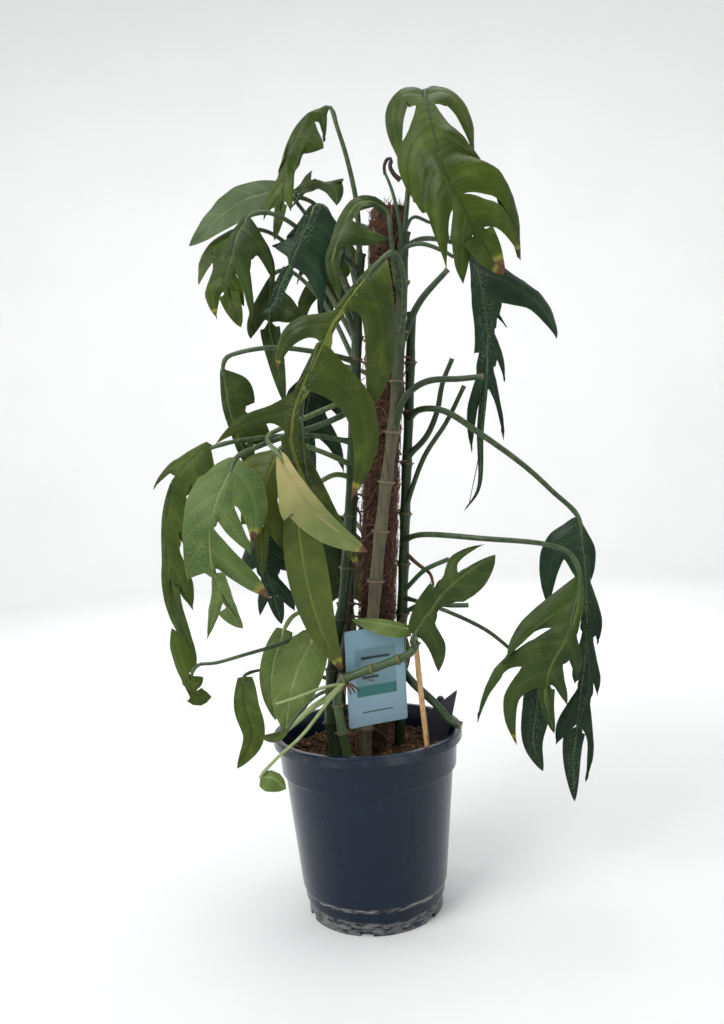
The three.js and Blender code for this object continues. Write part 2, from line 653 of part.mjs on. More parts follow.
leaf({
  name: "leaf_front_hanging", grows: "stem_left", colour: "youngLeaf",
  petiole: [[-3, 366, 5], [-18, 368, 30], [-36, 358, 46]],
  midrib: [[-50, 346, 54], [-48, 308, 60], [-43, 270, 62], [-34, 235, 60], [-19, 202, 52]],
  face: [0, -1, 0.2], cuts: [1], fused: 0.4,
  sides: [[[18, 0.1]], [[14, 0.1]]],
});
leaf({
  name: "leaf_lower_heart", grows: "stem_left", colour: "youngLeaf",
  petiole: [[-23, 228, 9], [-28, 240, 26]],
  midrib: [[-40, 234, 34], [-54, 210, 42], [-64, 184, 44], [-70, 150, 42]],
  face: [0, -1, 0.35], cuts: [1], fused: 0.3,
  sides: [[[20, 0.1]], [[19, 0.1]]],
});
leaf({
  name: "leaf_lower_heart_back", grows: "stem_left_back", colour: "youngLeaf",
  petiole: [[-13, 240, -12], [-36, 252, -2], [-56, 252, 14]],
  midrib: [[-66, 240, 22], [-76, 214, 28], [-80, 188, 28], [-78, 162, 26]],
  face: [-0.3, -1, 0.3], cuts: [1], fused: 0.3,
  sides: [[[13, 0.1]], [[12, 0.1]]],
});
leaf({
  name: "leaf_low_back", grows: "stem_left_back", colour: "darkLeaf",
  petiole: [[-4, 326, -13], [-36, 342, -4], [-66, 336, 14]],
  midrib: [[-78, 326, 20], [-80, 300, 28], [-74, 272, 30], [-68, 244, 28]],
  face: [0, -1, 0.3], cuts: [0.4, 0.7, 1], fused: 0.4,
  sides: [
    [[-52, 288, 24, 16, 20, 0.4], [-56, 254, 28, 10, 40, 0.4], [7, 0.1]],
    [[-97, 290, 20, 16, 20, 0.4], [-86, 252, 26, 9, 40, 0.4], [6, 0.1]],
  ],
});
leaf({
  name: "leaf_lower_left_small", grows: "stem_left", colour: "leaf", petioleRadius: [1.6, 1.2],
  petiole: [[-29, 195, 12], [-60, 204, -4], [-88, 206, 12]],
  midrib: [[-103, 201, 26], [-104, 176, 34], [-99, 150, 38], [-113, 122, 38]],
  face: [-0.2, -1, 0.3], cuts: [1], fused: 0.3,
  sides: [[[13, 0.1]], [[9, 0.1]]],
});
leaf({
  name: "leaf_rim_left", grows: "stem_runner", colour: "leaf", petioleRadius: [1.6, 1.2],
  petiole: [[-22, 189, 46], [-44, 180, 60], [-64, 160, 66]],
  midrib: [[-68, 154, 66], [-78, 150, 62], [-92, 149, 56]],
  face: [0, -0.6, 1], cuts: [1], fused: 0.3,
  sides: [[[6, 0.3]], [[6, 0.3]]],
});
leaf({
  name: "leaf_rim_small", grows: "stem_runner", colour: "leaf", petioleRadius: [1.5, 1.1],
  petiole: [[-17, 192, 46], [-32, 176, 66], [-56, 148, 84], [-80, 128, 88]],
  midrib: [[-94, 113, 88], [-84, 113, 92], [-72, 102, 90]],
  face: [0.1, -1, 0.6], cuts: [1], fused: 0.3,
  sides: [[[8, 0.4]], [[8, 0.4]]],
});
leaf({
  name: "leaf_right_far", grows: "stem_right", colour: "darkLeaf", petioleRadius: [2.8, 2],
  petiole: [[48, 412, -9], [58, 419, 10], [78, 417, 27], [108, 396, 28], [144, 367, 16], [166, 345, 9]],
  midrib: [[187, 322, 6], [192, 270, 14], [190, 220, 18], [191, 178, 18], [176, 130, 14], [174, 78, 10]],
  face: [-0.3, -1, 0.1], cuts: [0.15, 0.4, 0.58, 0.74, 1], fused: 0.3,
  sides: [
    [
      [196, 268, 6, 7, 40, 0.3], [199, 212, 10, 8, 50, 0.4], [197, 168, 14, 7, 50, 0.3],
      [184, 94, 12, 6, 50, 0.4], [7, 0.1],
    ],
    [
      [159, 246, 4, 16, -20, 0.5], [178, 232, 14, 7, 40, 0.3], [178, 180, 22, 10, 20, 0.4],
      [160, 128, 16, 13, 40, 0.4], [10, 0.1],
    ],
  ],
});
leaf({
  name: "leaf_right_front", grows: "stem_right", colour: "leaf", petioleRadius: [2.5, 1.9],
  petiole: [[39.5, 311, -7], [56, 314, 20], [106, 308, 48], [160, 300, 56], [178, 292, 56]],
  midrib: [[186, 276, 56], [184, 248, 62], [172, 218, 66], [158, 194, 66], [154, 166, 62], [159, 138, 56]],
  face: [-0.2, -1, 0.2], cuts: [0.3, 0.52, 0.7, 1], fused: 0.3,
  sides: [
    [[5, 0.1], [180, 184, 54, 9, 20, 0.4], [171, 162, 58, 8, 30, 0.4], [6, 0.1]],
    [[122, 206, 64, 17, 36, 0.56], [94, 150, 60, 13, 26, 0.67], [127, 129, 62, 11, 26, 0.7], [6, 0.1]],
  ],
});
leaf({
  name: "leaf_right_low", grows: "stem_right", colour: "darkLeaf", petioleRadius: [1.9, 1.4],
  petiole: [[35.5, 262, -6], [68, 250, 24], [105, 230, 34], [133, 206, 42]],
  midrib: [[148, 198, 40], [146, 166, 40], [141, 132, 40], [148, 106, 38]],
  face: [0, -1, 0.2], cuts: [1], fused: 0.4,
  sides: [[[11, 0.1]], [[12, 0.1]]],
});
leaf({
  name: "leaf_right_mid", grows: "stem_runner", colour: "leaf", petioleRadius: [2.4, 1.7],
  petiole: [[44, 219, 45], [42, 224, 52]],
  midrib: [[44, 229, 56], [56, 246, 60], [73, 266, 64], [94, 282, 66], [116, 294, 66]],
  face: [0.2, -1, 0.4], cuts: [0.22, 0.45, 0.66, 1], fused: 0.3,
  sides: [
    [[12, 0], [13, 0], [107, 303, 58, 8, 15, 0.6], [3, -0.1]],
    [[63, 196, 54, 12, -5, 0.5], [5, 0.1], [15, 0.1], [17, 0.1]],
  ],
});
leaf({
  name: "leaf_pale_small", grows: "stem_runner", colour: "youngLeaf", petioleRadius: [1.6, 1.2],
  petiole: [[42, 217, 45.5], [46, 229, 42]],
  midrib: [[42, 234, 40], [26, 238, 42], [8, 242, 40], [-9, 245, 36]],
  face: [0, -1, 0.4], cuts: [1], fused: 0.3,
  sides: [[[8, 0.2]], [[5, 0.2]]],
});
leaf({
  name: "leaf_back_top", grows: "stem_back", colour: "leaf",
  petiole: [[38, 516, -22], [34, 558, -44], [16, 574, -62]],
  midrib: [[4, 568, -72], [-10, 546, -92], [-16, 516, -100], [-16, 478, -98]],
  face: [-0.1, 1, 0.4], cuts: [0.3, 0.6, 1], fused: 0.4,
  sides: [
    [[-40, 528, -74, 15, 0, 0.5], [-38, 486, -84, 13, 20, 0.45], [8, 0.2]],
    [[16, 530, -88, 15, 0, 0.5], [8, 482, -96, 13, 20, 0.45], [8, 0.2]],
  ],
});
leaf({
  name: "leaf_back_left", grows: "stem_back", colour: "darkLeaf",
  petiole: [[31, 430, -22], [14, 452, -52], [-14, 460, -72]],
  midrib: [[-28, 456, -82], [-36, 434, -100], [-38, 404, -108], [-34, 364, -104]],
  face: [-0.4, 1, 0.3], cuts: [0.3, 0.6, 1], fused: 0.4,
  sides: [
    [[-60, 418, -72, 14, 0, 0.5], [-58, 374, -84, 12, 20, 0.45], [8, 0.2]],
    [[-8, 414, -104, 15, 0, 0.5], [-8, 368, -108, 12, 20, 0.45], [8, 0.2]],
  ],
});
leaf({
  name: "leaf_back_low", grows: "stem_back", colour: "leaf",
  petiole: [[18, 280, -22], [8, 312, -50], [-4, 330, -76]],
  midrib: [[-10, 326, -88], [-14, 298, -104], [-14, 264, -112], [-6, 218, -108]],
  face: [-0.1, 1, 0.4], cuts: [0.3, 0.6, 1], fused: 0.4,
  sides: [
    [[-42, 290, -84, 15, 0, 0.5], [-36, 238, -94, 13, 20, 0.45], [8, 0.2]],
    [[18, 282, -96, 14, 0, 0.5], [18, 232, -102, 12, 20, 0.45], [8, 0.2]],
  ],
});
leaf({
  name: "leaf_back_low_right", grows: "stem_back", colour: "youngLeaf",
  petiole: [[11, 190, -23], [18, 216, -44], [26, 236, -58]],
  midrib: [[30, 236, -66], [30, 218, -74], [24, 196, -78], [18, 168, -78]],
  face: [0.4, 1, 0.3], cuts: [1], fused: 0.35,
  sides: [[[12, 0.2]], [[12, 0.2]]],
});

// Small made things: a card tag, a bamboo stick and a dark nursery label with a slanting top.

function board(width, height, thickness, place) {
  const outline = new THREE.Shape();
  const corner = 2;
  outline.moveTo(-width / 2 + corner, 0);
  outline.lineTo(width / 2 - corner, 0);
  outline.quadraticCurveTo(width / 2, 0, width / 2, corner);
  outline.lineTo(width / 2, height - corner);
  outline.quadraticCurveTo(width / 2, height, width / 2 - corner, height);
  outline.lineTo(-width / 2 + corner, height);
  outline.quadraticCurveTo(-width / 2, height, -width / 2, height - corner);
  outline.lineTo(-width / 2, corner);
  outline.quadraticCurveTo(-width / 2, 0, -width / 2 + corner, 0);
  const sheet = { depth: thickness, bevelEnabled: false, curveSegments: 2 };
  const geometry = new THREE.ExtrudeGeometry(outline, sheet);
  geometry.rotateX(Math.PI / 2);
  place(geometry);
  return solidFrom(geometry);
}

const tag = board(52, 80, 0.9, (geometry) => {
  geometry.rotateY(THREE.MathUtils.degToRad(-1));
  geometry.rotateX(THREE.MathUtils.degToRad(3));
  geometry.rotateZ(THREE.MathUtils.degToRad(22));
  geometry.translate(9.5, -27.9, 163);
});
const STICK = [[44, 238, 26], [47, 180, 34], [52.5, 100, 42]].map(seen);
const bamboo = taperedLimb(STICK, 2.2, 2.2, 8, 60);
function labelPlate(grow) {
  const outline = new THREE.Shape();
  outline.moveTo(42 - grow, 112 - grow);
  outline.lineTo(60 + grow, 112 - grow);
  outline.lineTo(72.5 + grow, 150);
  outline.lineTo(79.5 + grow, 178);
  outline.lineTo(52 - grow, 160);
  const geometry = new THREE.ExtrudeGeometry(outline, { depth: 1.2 + 2 * grow, bevelEnabled: false });
  geometry.rotateX(Math.PI / 2);
  geometry.translate(0, 0.6 + grow, 0);
  geometry.rotateZ(THREE.MathUtils.degToRad(6));
  return solidFrom(geometry);
}

// Everything that stands in the soil has a plain hole there.

const stemSolids = {};
const grownStems = {};
for (const [name, stem] of Object.entries(STEMS)) {
  stemSolids[name] = climbingStem(stem);
  grownStems[name] = climbingStem({ ...stem, grow: GAP, stubs: [] });
}

function soilSolid() {
  const rings = 4;
  const around = POT_TURNS;
  const clear = (radius) => radius * Math.cos(Math.PI / POT_TURNS) - GAP;
  const top = clear(SHOULDER.radius);
  const points = [new THREE.Vector3(0, 0, SOIL.top + 2)];
  const faces = [];
  const ring = (radius, z, bumpy) => {
    for (let i = 0; i < around; i++) {
      const turn = (2 * Math.PI * i) / around;
      const bump = bumpy * SOIL.rough * Math.sin(4 * turn + radius) * Math.cos(0.35 * radius + 3 * turn);
      points.push(new THREE.Vector3(radius * Math.cos(turn), radius * Math.sin(turn), z + bump));
    }
  };
  for (let k = 1; k < rings; k++) ring((top * k) / rings, SOIL.top, 1);
  ring(top, SOIL.top - 3, 0);
  ring(top, SHOULDER.above + 0.6, 0);
  ring(clear(potInside(SHOULDER.below)), SHOULDER.below + 0.4, 0);
  ring(clear(potInside(POT.floor)), POT.floor + GAP, 0);
  for (let i = 0; i < around; i++) faces.push([0, 1 + i, 1 + ((i + 1) % around)]);
  for (let k = 0; k < rings + 2; k++)
    for (let i = 0; i < around; i++) {
      const [a, b] = [1 + k * around + i, 1 + k * around + ((i + 1) % around)];
      faces.push([a, a + around, b + around], [a, b + around, b]);
    }
  const last = 1 + (rings + 2) * around;
  for (let i = 1; i + 1 < around; i++) faces.push([last, last + i + 1, last + i]);
  let soil = solidFrom(indexedGeometry(points, faces));
  soil = soil.subtract(straightRod(POLE.bottom - 1, 200, POLE.radius + 1, 16));
  for (const stem of Object.values(STEMS)) {
    const [foot, next] = stem.path.map(seen);
    const below = foot.clone().sub(next).setLength(GAP);
    const hole = [foot.clone().add(below), foot.clone().lerp(next, 0.5), next];
    soil = soil.subtract(taperedLimb(hole, stem.radius * 1.25 + GAP, stem.radius * 1.25 + GAP, 10, 40));
  }
  const stickFoot = STICK[2].clone().sub(STICK[1]).setLength(GAP).add(STICK[2]);
  soil = soil.subtract(taperedLimb([STICK[0], STICK[1], stickFoot], 2.6, 2.6, 8, 60));
  return soil.subtract(labelPlate(0.8));
}

addPiece("pot", potSolid(), COLOURS.pot, 0.35);
addPiece("soil", soilSolid(), COLOURS.soil, 0.95);
const { rings, sides } = COIR_FACETS;
const sleeve = roughTube(poleCurve(POLE.bottom, poleTop), rings, sides, POLE.radius, POLE.rough);
const bore = straightRod(POLE.bottom + 5, poleTop + 5, POLE.bore, 10);
addPiece("coir_sleeve", sleeve.subtract(bore), COLOURS.coir, 0.95);
addPiece("pole_core", straightRod(POLE.bottom + 5.4, poleTop - 3, POLE.bore - GAP, 10), COLOURS.wood, 0.8);
for (const [name, solid] of Object.entries(stemSolids)) addPiece(name, solid, STEMS[name].colour, 0.7);
for (const shape of leaves) {
  const bodies = leafSolid(shape).subtract(grownStems[shape.grows]).decompose();
  bodies.sort((a, b) => b.volume() - a.volume()); // a crumb of the stalk can be left beyond the stem
  addPiece(shape.name, bodies[0], COLOURS[shape.colour], 0.4);
}
addPiece("card_tag", tag, COLOURS.card, 0.5);
addPiece("bamboo_stick", bamboo, COLOURS.wood, 0.7);
addPiece("nursery_label", labelPlate(0), COLOURS.black, 0.5);

export default plant;
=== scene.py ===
# A potted climbing aroid with split, drooping leaves, trained up a coir pole in a navy nursery pot.
# Lengths in the lists are millimetres. Meshes are in metres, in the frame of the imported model.
import math
import random

import bmesh
import bpy
import numpy as np
from mathutils import Matrix, Vector, noise


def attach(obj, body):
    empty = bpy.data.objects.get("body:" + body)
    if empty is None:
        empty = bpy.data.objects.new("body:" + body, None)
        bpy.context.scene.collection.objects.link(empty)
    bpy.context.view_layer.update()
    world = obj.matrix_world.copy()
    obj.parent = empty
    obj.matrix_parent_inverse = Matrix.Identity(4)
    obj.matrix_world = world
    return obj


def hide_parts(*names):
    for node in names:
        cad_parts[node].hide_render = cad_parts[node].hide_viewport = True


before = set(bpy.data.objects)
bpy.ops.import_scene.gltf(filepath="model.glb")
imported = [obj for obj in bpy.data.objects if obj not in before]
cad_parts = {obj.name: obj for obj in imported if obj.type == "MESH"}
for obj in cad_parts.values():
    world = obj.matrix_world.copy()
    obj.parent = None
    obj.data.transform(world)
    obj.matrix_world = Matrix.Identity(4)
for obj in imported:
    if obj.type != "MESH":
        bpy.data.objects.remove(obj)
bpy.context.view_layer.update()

# The pot
# A round nursery pot moulded in one piece of navy plastic, with a rolled rim, a step under it where pots
# stack, a foot with six drain slots, and a ball-headed lug on the back of the rim. The wall is scuffed,
# and hard water has left lime on the foot.

MM = 0.001
UP = Vector((0, 0, 1))


class Value:
    """A number in a shader: arithmetic on it adds Math nodes."""

    def __init__(self, tree, socket):
        self.tree = tree
        self.socket = socket

    def math(self, operation, *numbers):
        node = self.tree.nodes.new("ShaderNodeMath")
        node.operation = operation
        for entry, number in zip(node.inputs, numbers):
            if isinstance(number, Value):
                self.tree.links.new(number.socket, entry)
            else:
                entry.default_value = number
        return Value(self.tree, node.outputs[0])

    def __add__(self, other):
        return self.math("ADD", self, other)

    __radd__ = __add__

    def __sub__(self, other):
        return self.math("SUBTRACT", self, other)

    def __rsub__(self, other):
        return self.math("SUBTRACT", other, self)

    def __mul__(self, other):
        return self.math("MULTIPLY", self, other)

    __rmul__ = __mul__

    def __mod__(self, other):
        return self.math("FLOORED_MODULO", self, other)

    def __abs__(self):
        return self.math("ABSOLUTE", self)


class Finish:
    """A procedural material: one Principled shader and the nodes that feed it."""

    def __init__(self, name, **settings):
        self.material = bpy.data.materials.new(name)
        self.material.use_nodes = True
        self.tree = self.material.node_tree
        self.shader = self.tree.nodes["Principled BSDF"]
        for socket, value in settings.items():
            self.shader.inputs[socket.replace("_", " ")].default_value = value

    def put(self, entry, value):
        if isinstance(value, Value):
            self.tree.links.new(value.socket, entry)
        elif entry.type == "RGBA":
            entry.default_value = (*value, 1)
        else:
            entry.default_value = value

    def node(self, kind, settings=(), inputs=(), output=0):
        node = self.tree.nodes.new("ShaderNode" + kind)
        for key, value in dict(settings).items():
            setattr(node, key, value)
        for key, value in dict(inputs).items():
            self.put(node.inputs[key], value)
        return Value(self.tree, node.outputs[output])

    def place(self, stretch=(1, 1, 1)):
        """The place on the object, in metres, squeezed by stretch."""
        here = self.node("TexCoord", output="Object")
        return self.node("Mapping", inputs={"Vector": here, "Scale": stretch})

    def height_up(self):
        return self.node("SeparateXYZ", inputs={0: self.place()}, output=2)

    def attribute(self, name):
        return self.node("Attribute", {"attribute_name": name}, output="Fac")

    def noise(self, place, scale, detail=3.0, roughness=0.5):
        wanted = {"Vector": place, "Scale": scale, "Detail": detail, "Roughness": roughness}
        return self.node("TexNoise", inputs=wanted)

    def rise(self, value, low, high):
        """Goes smoothly from 0 at low to 1 at high."""
        wanted = {"Value": value, "From Min": low, "From Max": high}
        return self.node("MapRange", {"interpolation_type": "SMOOTHSTEP"}, wanted)

    def mix(self, factor, a, b):
        return self.node("Mix", {"data_type": "RGBA"}, {0: factor, 6: a, 7: b}, output=2)

    def bump(self, height, depth):
        """Relief of depth millimetres, for what is too fine to model."""
        wanted = {"Height": height, "Distance": depth * MM, "Strength": 1}
        self.put(self.shader.inputs["Normal"], self.node("Bump", inputs=wanted))

    def feed(self, **sockets):
        for socket, value in sockets.items():
            self.put(self.shader.inputs[socket.replace("_", " ")], value)


def paint(red, green, blue):
    """A colour as it is seen, from 0 to 255, turned into the shader's linear numbers."""
    seen_as = [c / 255 for c in (red, green, blue)]
    return tuple(c / 12.92 if c < 0.04 else ((c + 0.055) / 1.055) ** 2.4 for c in seen_as)


def patch(bm, columns, rows, place):
    """A grid of faces whose corners are moved to place(c, t), with c and t from 0 to 1."""
    grid = bmesh.ops.create_grid(bm, x_segments=columns, y_segments=rows, size=0.5, calc_uvs=True)
    for corner in grid["verts"]:
        c = round((corner.co.x + 0.5) * columns) / columns
        t = round((corner.co.y + 0.5) * rows) / rows
        corner.co = place(c, t)
    return grid["verts"]


def weld(bm):
    """Closes the seam and the ends of a patch."""
    bmesh.ops.remove_doubles(bm, verts=bm.verts, dist=2e-6)


def piece(name, bm, finishes, slot, *nodes, sharp=50):
    """Makes the object, rides it on the part's one body, and hides the model's nodes that it stands for."""
    mesh = bpy.data.meshes.new(name)
    bm.to_mesh(mesh)
    bm.free()
    for finish in finishes:
        mesh.materials.append(finish.material)
    mesh.polygons.foreach_set("use_smooth", [True] * len(mesh.polygons))
    mesh.set_sharp_from_angle(angle=math.radians(sharp))
    thing = bpy.data.objects.new(name, mesh)
    bpy.context.scene.collection.objects.link(thing)
    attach(thing, "root")
    if nodes:
        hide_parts(*nodes)


def settled(bm, modifier, **settings):
    """The mesh as one modifier leaves it, as a new bmesh."""
    mesh = bpy.data.meshes.new("settling")
    bm.to_mesh(mesh)
    bm.free()
    thing = bpy.data.objects.new("settling", mesh)
    bpy.context.scene.collection.objects.link(thing)
    added = thing.modifiers.new(modifier, modifier)
    for key, value in settings.items():
        setattr(added, key, value)
    made = bmesh.new()
    made.from_object(thing, bpy.context.evaluated_depsgraph_get())
    bpy.data.objects.remove(thing)
    bpy.data.meshes.remove(mesh)
    return made


POT_RIM = 80
POT_HEIGHT = 152
POT_FOOT = 57
POT_SECTION = [
    (0, 3), (55.4, 3), (69.3, 120), (72.2, 121.8), (74.6, POT_HEIGHT), (POT_RIM - 0.6, POT_HEIGHT),
    (POT_RIM, 151), (POT_RIM, 144), (78.4, 144), (78.2, 149), (76, 149), (74, 121), (71.2, 119),
    (61.5, 24), (60, 22.5), (59.4, 14), (POT_FOOT, 12.8), (POT_FOOT, 0), (0, 0),
]
POT_CORNER = 0.55
SLOTS = 6
SLOT_SIZE = (9, 11, 8)
SLOT_FROM_MIDDLE = 55.5
LUG_ANGLE = 0.52
LUG_FROM_MIDDLE = 76.6

pot = bmesh.new()
corners = [pot.verts.new((r * MM, 0, z * MM)) for r, z in POT_SECTION]
outline = [pot.edges.new(pair) for pair in zip(corners, corners[1:])]
bmesh.ops.spin(
    pot, geom=corners + outline, cent=(0, 0, 0), axis=UP, angle=2 * math.pi, steps=120, use_merge=True
)
weld(pot)
bmesh.ops.recalc_face_normals(pot, faces=pot.faces)
corner_edges = [e for e in pot.edges if len(e.link_faces) == 2 and e.calc_face_angle() > 0.3]
bmesh.ops.bevel(
    pot, geom=corner_edges, offset=POT_CORNER * MM, segments=3, profile=0.5, affect="EDGES", material=-1,
    clamp_overlap=True,
)

slots = bmesh.new()
for i in range(SLOTS):
    turn = Matrix.Rotation(2 * math.pi * (i + 0.35) / SLOTS, 4, "Z")
    shift = Matrix.Translation((SLOT_FROM_MIDDLE * MM, 0, 0))
    stretch = Matrix.Diagonal((*(side * MM for side in SLOT_SIZE), 1))
    bmesh.ops.create_cube(slots, size=1, matrix=turn @ shift @ stretch)
cutter_mesh = bpy.data.meshes.new("slots")
slots.to_mesh(cutter_mesh)
slots.free()
cutter = bpy.data.objects.new("slots", cutter_mesh)
bpy.context.scene.collection.objects.link(cutter)
pot = settled(pot, "BOOLEAN", object=cutter, solver="EXACT", operation="DIFFERENCE")
bpy.data.objects.remove(cutter)

lug_turn = Matrix.Rotation(LUG_ANGLE, 4, "Z")
lug_foot = lug_turn @ Matrix.Translation((LUG_FROM_MIDDLE * MM, 0, 154 * MM))
bmesh.ops.create_cone(
    pot, segments=20, radius1=2.6 * MM, radius2=2.1 * MM, depth=13 * MM, cap_ends=True, matrix=lug_foot
)
lug_head = lug_turn @ Matrix.Translation((LUG_FROM_MIDDLE * MM, 0, 162 * MM))
bmesh.ops.create_uvsphere(pot, u_segments=24, v_segments=14, radius=3.6 * MM, matrix=lug_head)

NAVY = paint(3, 22, 42)
NAVY_WORN = paint(10, 33, 56)
LIME = paint(148, 148, 142)
pot_finish = Finish("pot_plastic", Specular_IOR_Level=0.3)
here = pot_finish.place()
high = pot_finish.height_up()
mottle = pot_finish.noise(here, 38, 4)
rubs = pot_finish.noise(pot_finish.place((1, 1, 0.16)), 240, 4, 0.7)
speckle = pot_finish.noise(here, 900, 2)
worn = pot_finish.rise(rubs, 0.52, 0.8) * 0.5 + pot_finish.rise(mottle, 0.5, 0.75) * 0.25
colour = pot_finish.mix(worn, NAVY, NAVY_WORN)
wavy = high + pot_finish.noise(here, 50, 3) * 0.004
band = 1 - pot_finish.rise(wavy, 0.011, 0.014)
ring = pot_finish.rise(wavy, 0.0215, 0.0225) * (1 - pot_finish.rise(wavy, 0.0245, 0.0262))
scuffs = pot_finish.noise(pot_finish.place((1, 1, 4)), 110, 4, 0.7)
lime = (band * 0.75 + ring) * pot_finish.rise(scuffs, 0.4, 0.62)
colour = pot_finish.mix(lime * 0.8, colour, LIME)
dust = pot_finish.rise(high, 0.1435, 0.1455) * pot_finish.rise(mottle, 0.4, 0.7) * 0.25
colour = pot_finish.mix(dust, colour, paint(110, 112, 114))
pot_finish.feed(Base_Color=colour, Roughness=0.14 + rubs * 0.16 + lime * 0.4)
pot_finish.bump(speckle * 0.5 + rubs, 0.012)
piece("pot_shell", pot, [pot_finish], "pot_plastic", "pot", sharp=40)

# The potting mix
# Dark peat with bark chips and coir crumbs, filled to 18 mm below the rim. It fills the pot to the wall,
# and the pole and the stems stand in it.

SOIL_TOP = 134
SOIL_SIDE = 71.6
SOIL_BOTTOM = 117
SOIL_BOTTOM_SIDE = 66
CHIPS = 900


def rough(point, scale, octaves=3):
    """Noise from about -1 to 1 at a point in metres, with lumps of about scale millimetres."""
    return noise.fractal(point / (scale * MM), 1.0, 2.0, octaves)


def soil_place(c, t):
    """The lumpy top from the middle to the wall, then down the wall and back to the middle."""
    turn = 2 * math.pi * c
    if t > 0.9:
        return Vector((0, 0, SOIL_BOTTOM * MM))
    if t > 0.8:
        r = SOIL_BOTTOM_SIDE
        return Vector((math.cos(turn) * r, math.sin(turn) * r, SOIL_BOTTOM)) * MM
    r = SOIL_SIDE * t / 0.8
    flat = Vector((math.cos(turn) * r, math.sin(turn) * r, 0)) * MM
    lift = 2.2 * rough(flat, 22) + 1.4 * rough(flat + Vector((1, 0, 0)), 5)
    lift -= 3 * max(0, r / SOIL_SIDE - 0.92) / 0.08
    return flat + Vector((0, 0, (SOIL_TOP + lift) * MM))


soil = bmesh.new()
soil.loops.layers.uv.new("face")
shade_layer = soil.verts.layers.float.new("tone")
patch(soil, 110, 50, soil_place)
weld(soil)
bmesh.ops.recalc_face_normals(soil, faces=soil.faces)
dice = random.Random(5)
for i in range(CHIPS):
    r = SOIL_SIDE * math.sqrt(dice.random()) * 0.985
    turn = dice.uniform(0, 2 * math.pi)
    flat = Vector((math.cos(turn) * r, math.sin(turn) * r, 0)) * MM
    ground = soil_place(turn / (2 * math.pi), 0.8 * r / SOIL_SIDE).z
    size = dice.choice((1.0, 1.4, 1.8, 2.6)) * MM
    shape = Matrix.Diagonal((size * dice.uniform(0.8, 2.0), size * dice.uniform(0.5, 1), size * 0.45, 1))
    spin = Matrix.Rotation(dice.uniform(0, 6.28), 4, "Z") @ Matrix.Rotation(dice.gauss(0, 0.6), 4, "X")
    spin = spin @ Matrix.Rotation(dice.gauss(0, 0.5), 4, "Y")
    seat = Matrix.Translation((flat.x, flat.y, ground + 0.2 * size))
    chip = bmesh.ops.create_icosphere(soil, subdivisions=1, radius=1, matrix=seat @ spin @ shape)["verts"]
    tone = dice.random() ** 2
    for corner in chip:
        corner[shade_layer] = tone
        corner.co += 0.12 * size * Vector((dice.gauss(0, 1), dice.gauss(0, 1), dice.gauss(0, 1)))

soil_finish = Finish("potting_mix", Roughness=0.95, Specular_IOR_Level=0.2)
here = soil_finish.place()
grain = soil_finish.noise(here, 520, 5, 0.7)
tone = soil_finish.attribute("tone")
colour = soil_finish.mix(soil_finish.rise(grain, 0.35, 0.7), paint(38, 26, 19), paint(86, 60, 44))
colour = soil_finish.mix(tone * 0.9, colour, paint(146, 112, 82))
soil_finish.feed(Base_Color=colour)
soil_finish.bump(grain, 0.5)
piece("potting_soil_mix", soil, [soil_finish], "potting_soil", "soil", sharp=70)

# The pole
# A sleeve of matted red-brown coconut fibre, 31 mm across, round a plain wooden stake that stands in the
# pot. The fibre is rough and frayed, most of all at its top end.

POLE_RADIUS = 15.4
POLE_BOTTOM = 10
POLE_TOP = 585


def pole_axis(z):
    """The middle of the pole, which leans a little to the right."""
    return Vector((3.4 + 0.0797 * (z - 125), 0, z)) * MM


def round_pole(turn, z, stand):
    """A point beside the pole: stand is in millimetres from its axis."""
    return pole_axis(z) + Vector((math.cos(turn), math.sin(turn), 0)) * stand * MM


def sleeve_place(c, t):
    """The ragged sleeve, closed to a point at both ends."""
    turn = 2 * math.pi * c
    z = POLE_BOTTOM + (POLE_TOP - POLE_BOTTOM) * min(1, max(0, (t - 0.004) / 0.992))
    if t in (0, 1):
        return pole_axis(z)
    around = Vector((math.cos(turn), math.sin(turn), 0)) * 0.01 + Vector((0, 0, z * MM))
    return round_pole(turn, z, POLE_RADIUS - 0.8 + 1.1 * rough(around, 7) + 0.6 * rough(around, 2.4))


def bundle(bm, runs, sides, rows, facing, tone_layer):
    """Thin threads, pointed at both ends, cut from one long grid. A run is a path, a radius and a tone."""
    band = rows + 1
    last = band * len(runs) - 1
    step = 0.02
    row_of = []

    def place(c, t):
        row_of.append(round(t * last))
        run, k = divmod(row_of[-1], band)
        path, radius, _ = runs[run]
        u = k / rows
        middle = path(u)
        heading = (path(min(1, u + step)) - path(max(0, u - step))).normalized()
        side = facing(middle)
        side = (side - heading * side.dot(heading)).normalized()
        thick = radius * MM * min(1, 4 * u, 4 * (1 - u))
        turn = 2 * math.pi * c
        return middle + thick * (side * math.cos(turn) + heading.cross(side) * math.sin(turn))

    corners = patch(bm, sides, last, place)
    starts = set()
    for corner, row in zip(corners, row_of):
        corner[tone_layer] = runs[row // band][2]
        if row % band == 0:
            starts.add(corner)
    ends = {corner for corner, row in zip(corners, row_of) if row % band == rows}
    joins = [f for corner in ends for f in corner.link_faces if starts.intersection(f.verts)]
    bmesh.ops.delete(bm, geom=list(set(joins)), context="FACES")


def from_pole(point):
    """The way level out from the pole, to a point beside it."""
    outward = point - pole_axis(point.z / MM)
    outward.z = 0
    return outward


coir = bmesh.new()
coir.loops.layers.uv.new("face")
shade_layer = coir.verts.layers.float.new("tone")
patch(coir, 48, 250, sleeve_place)
dice = random.Random(11)


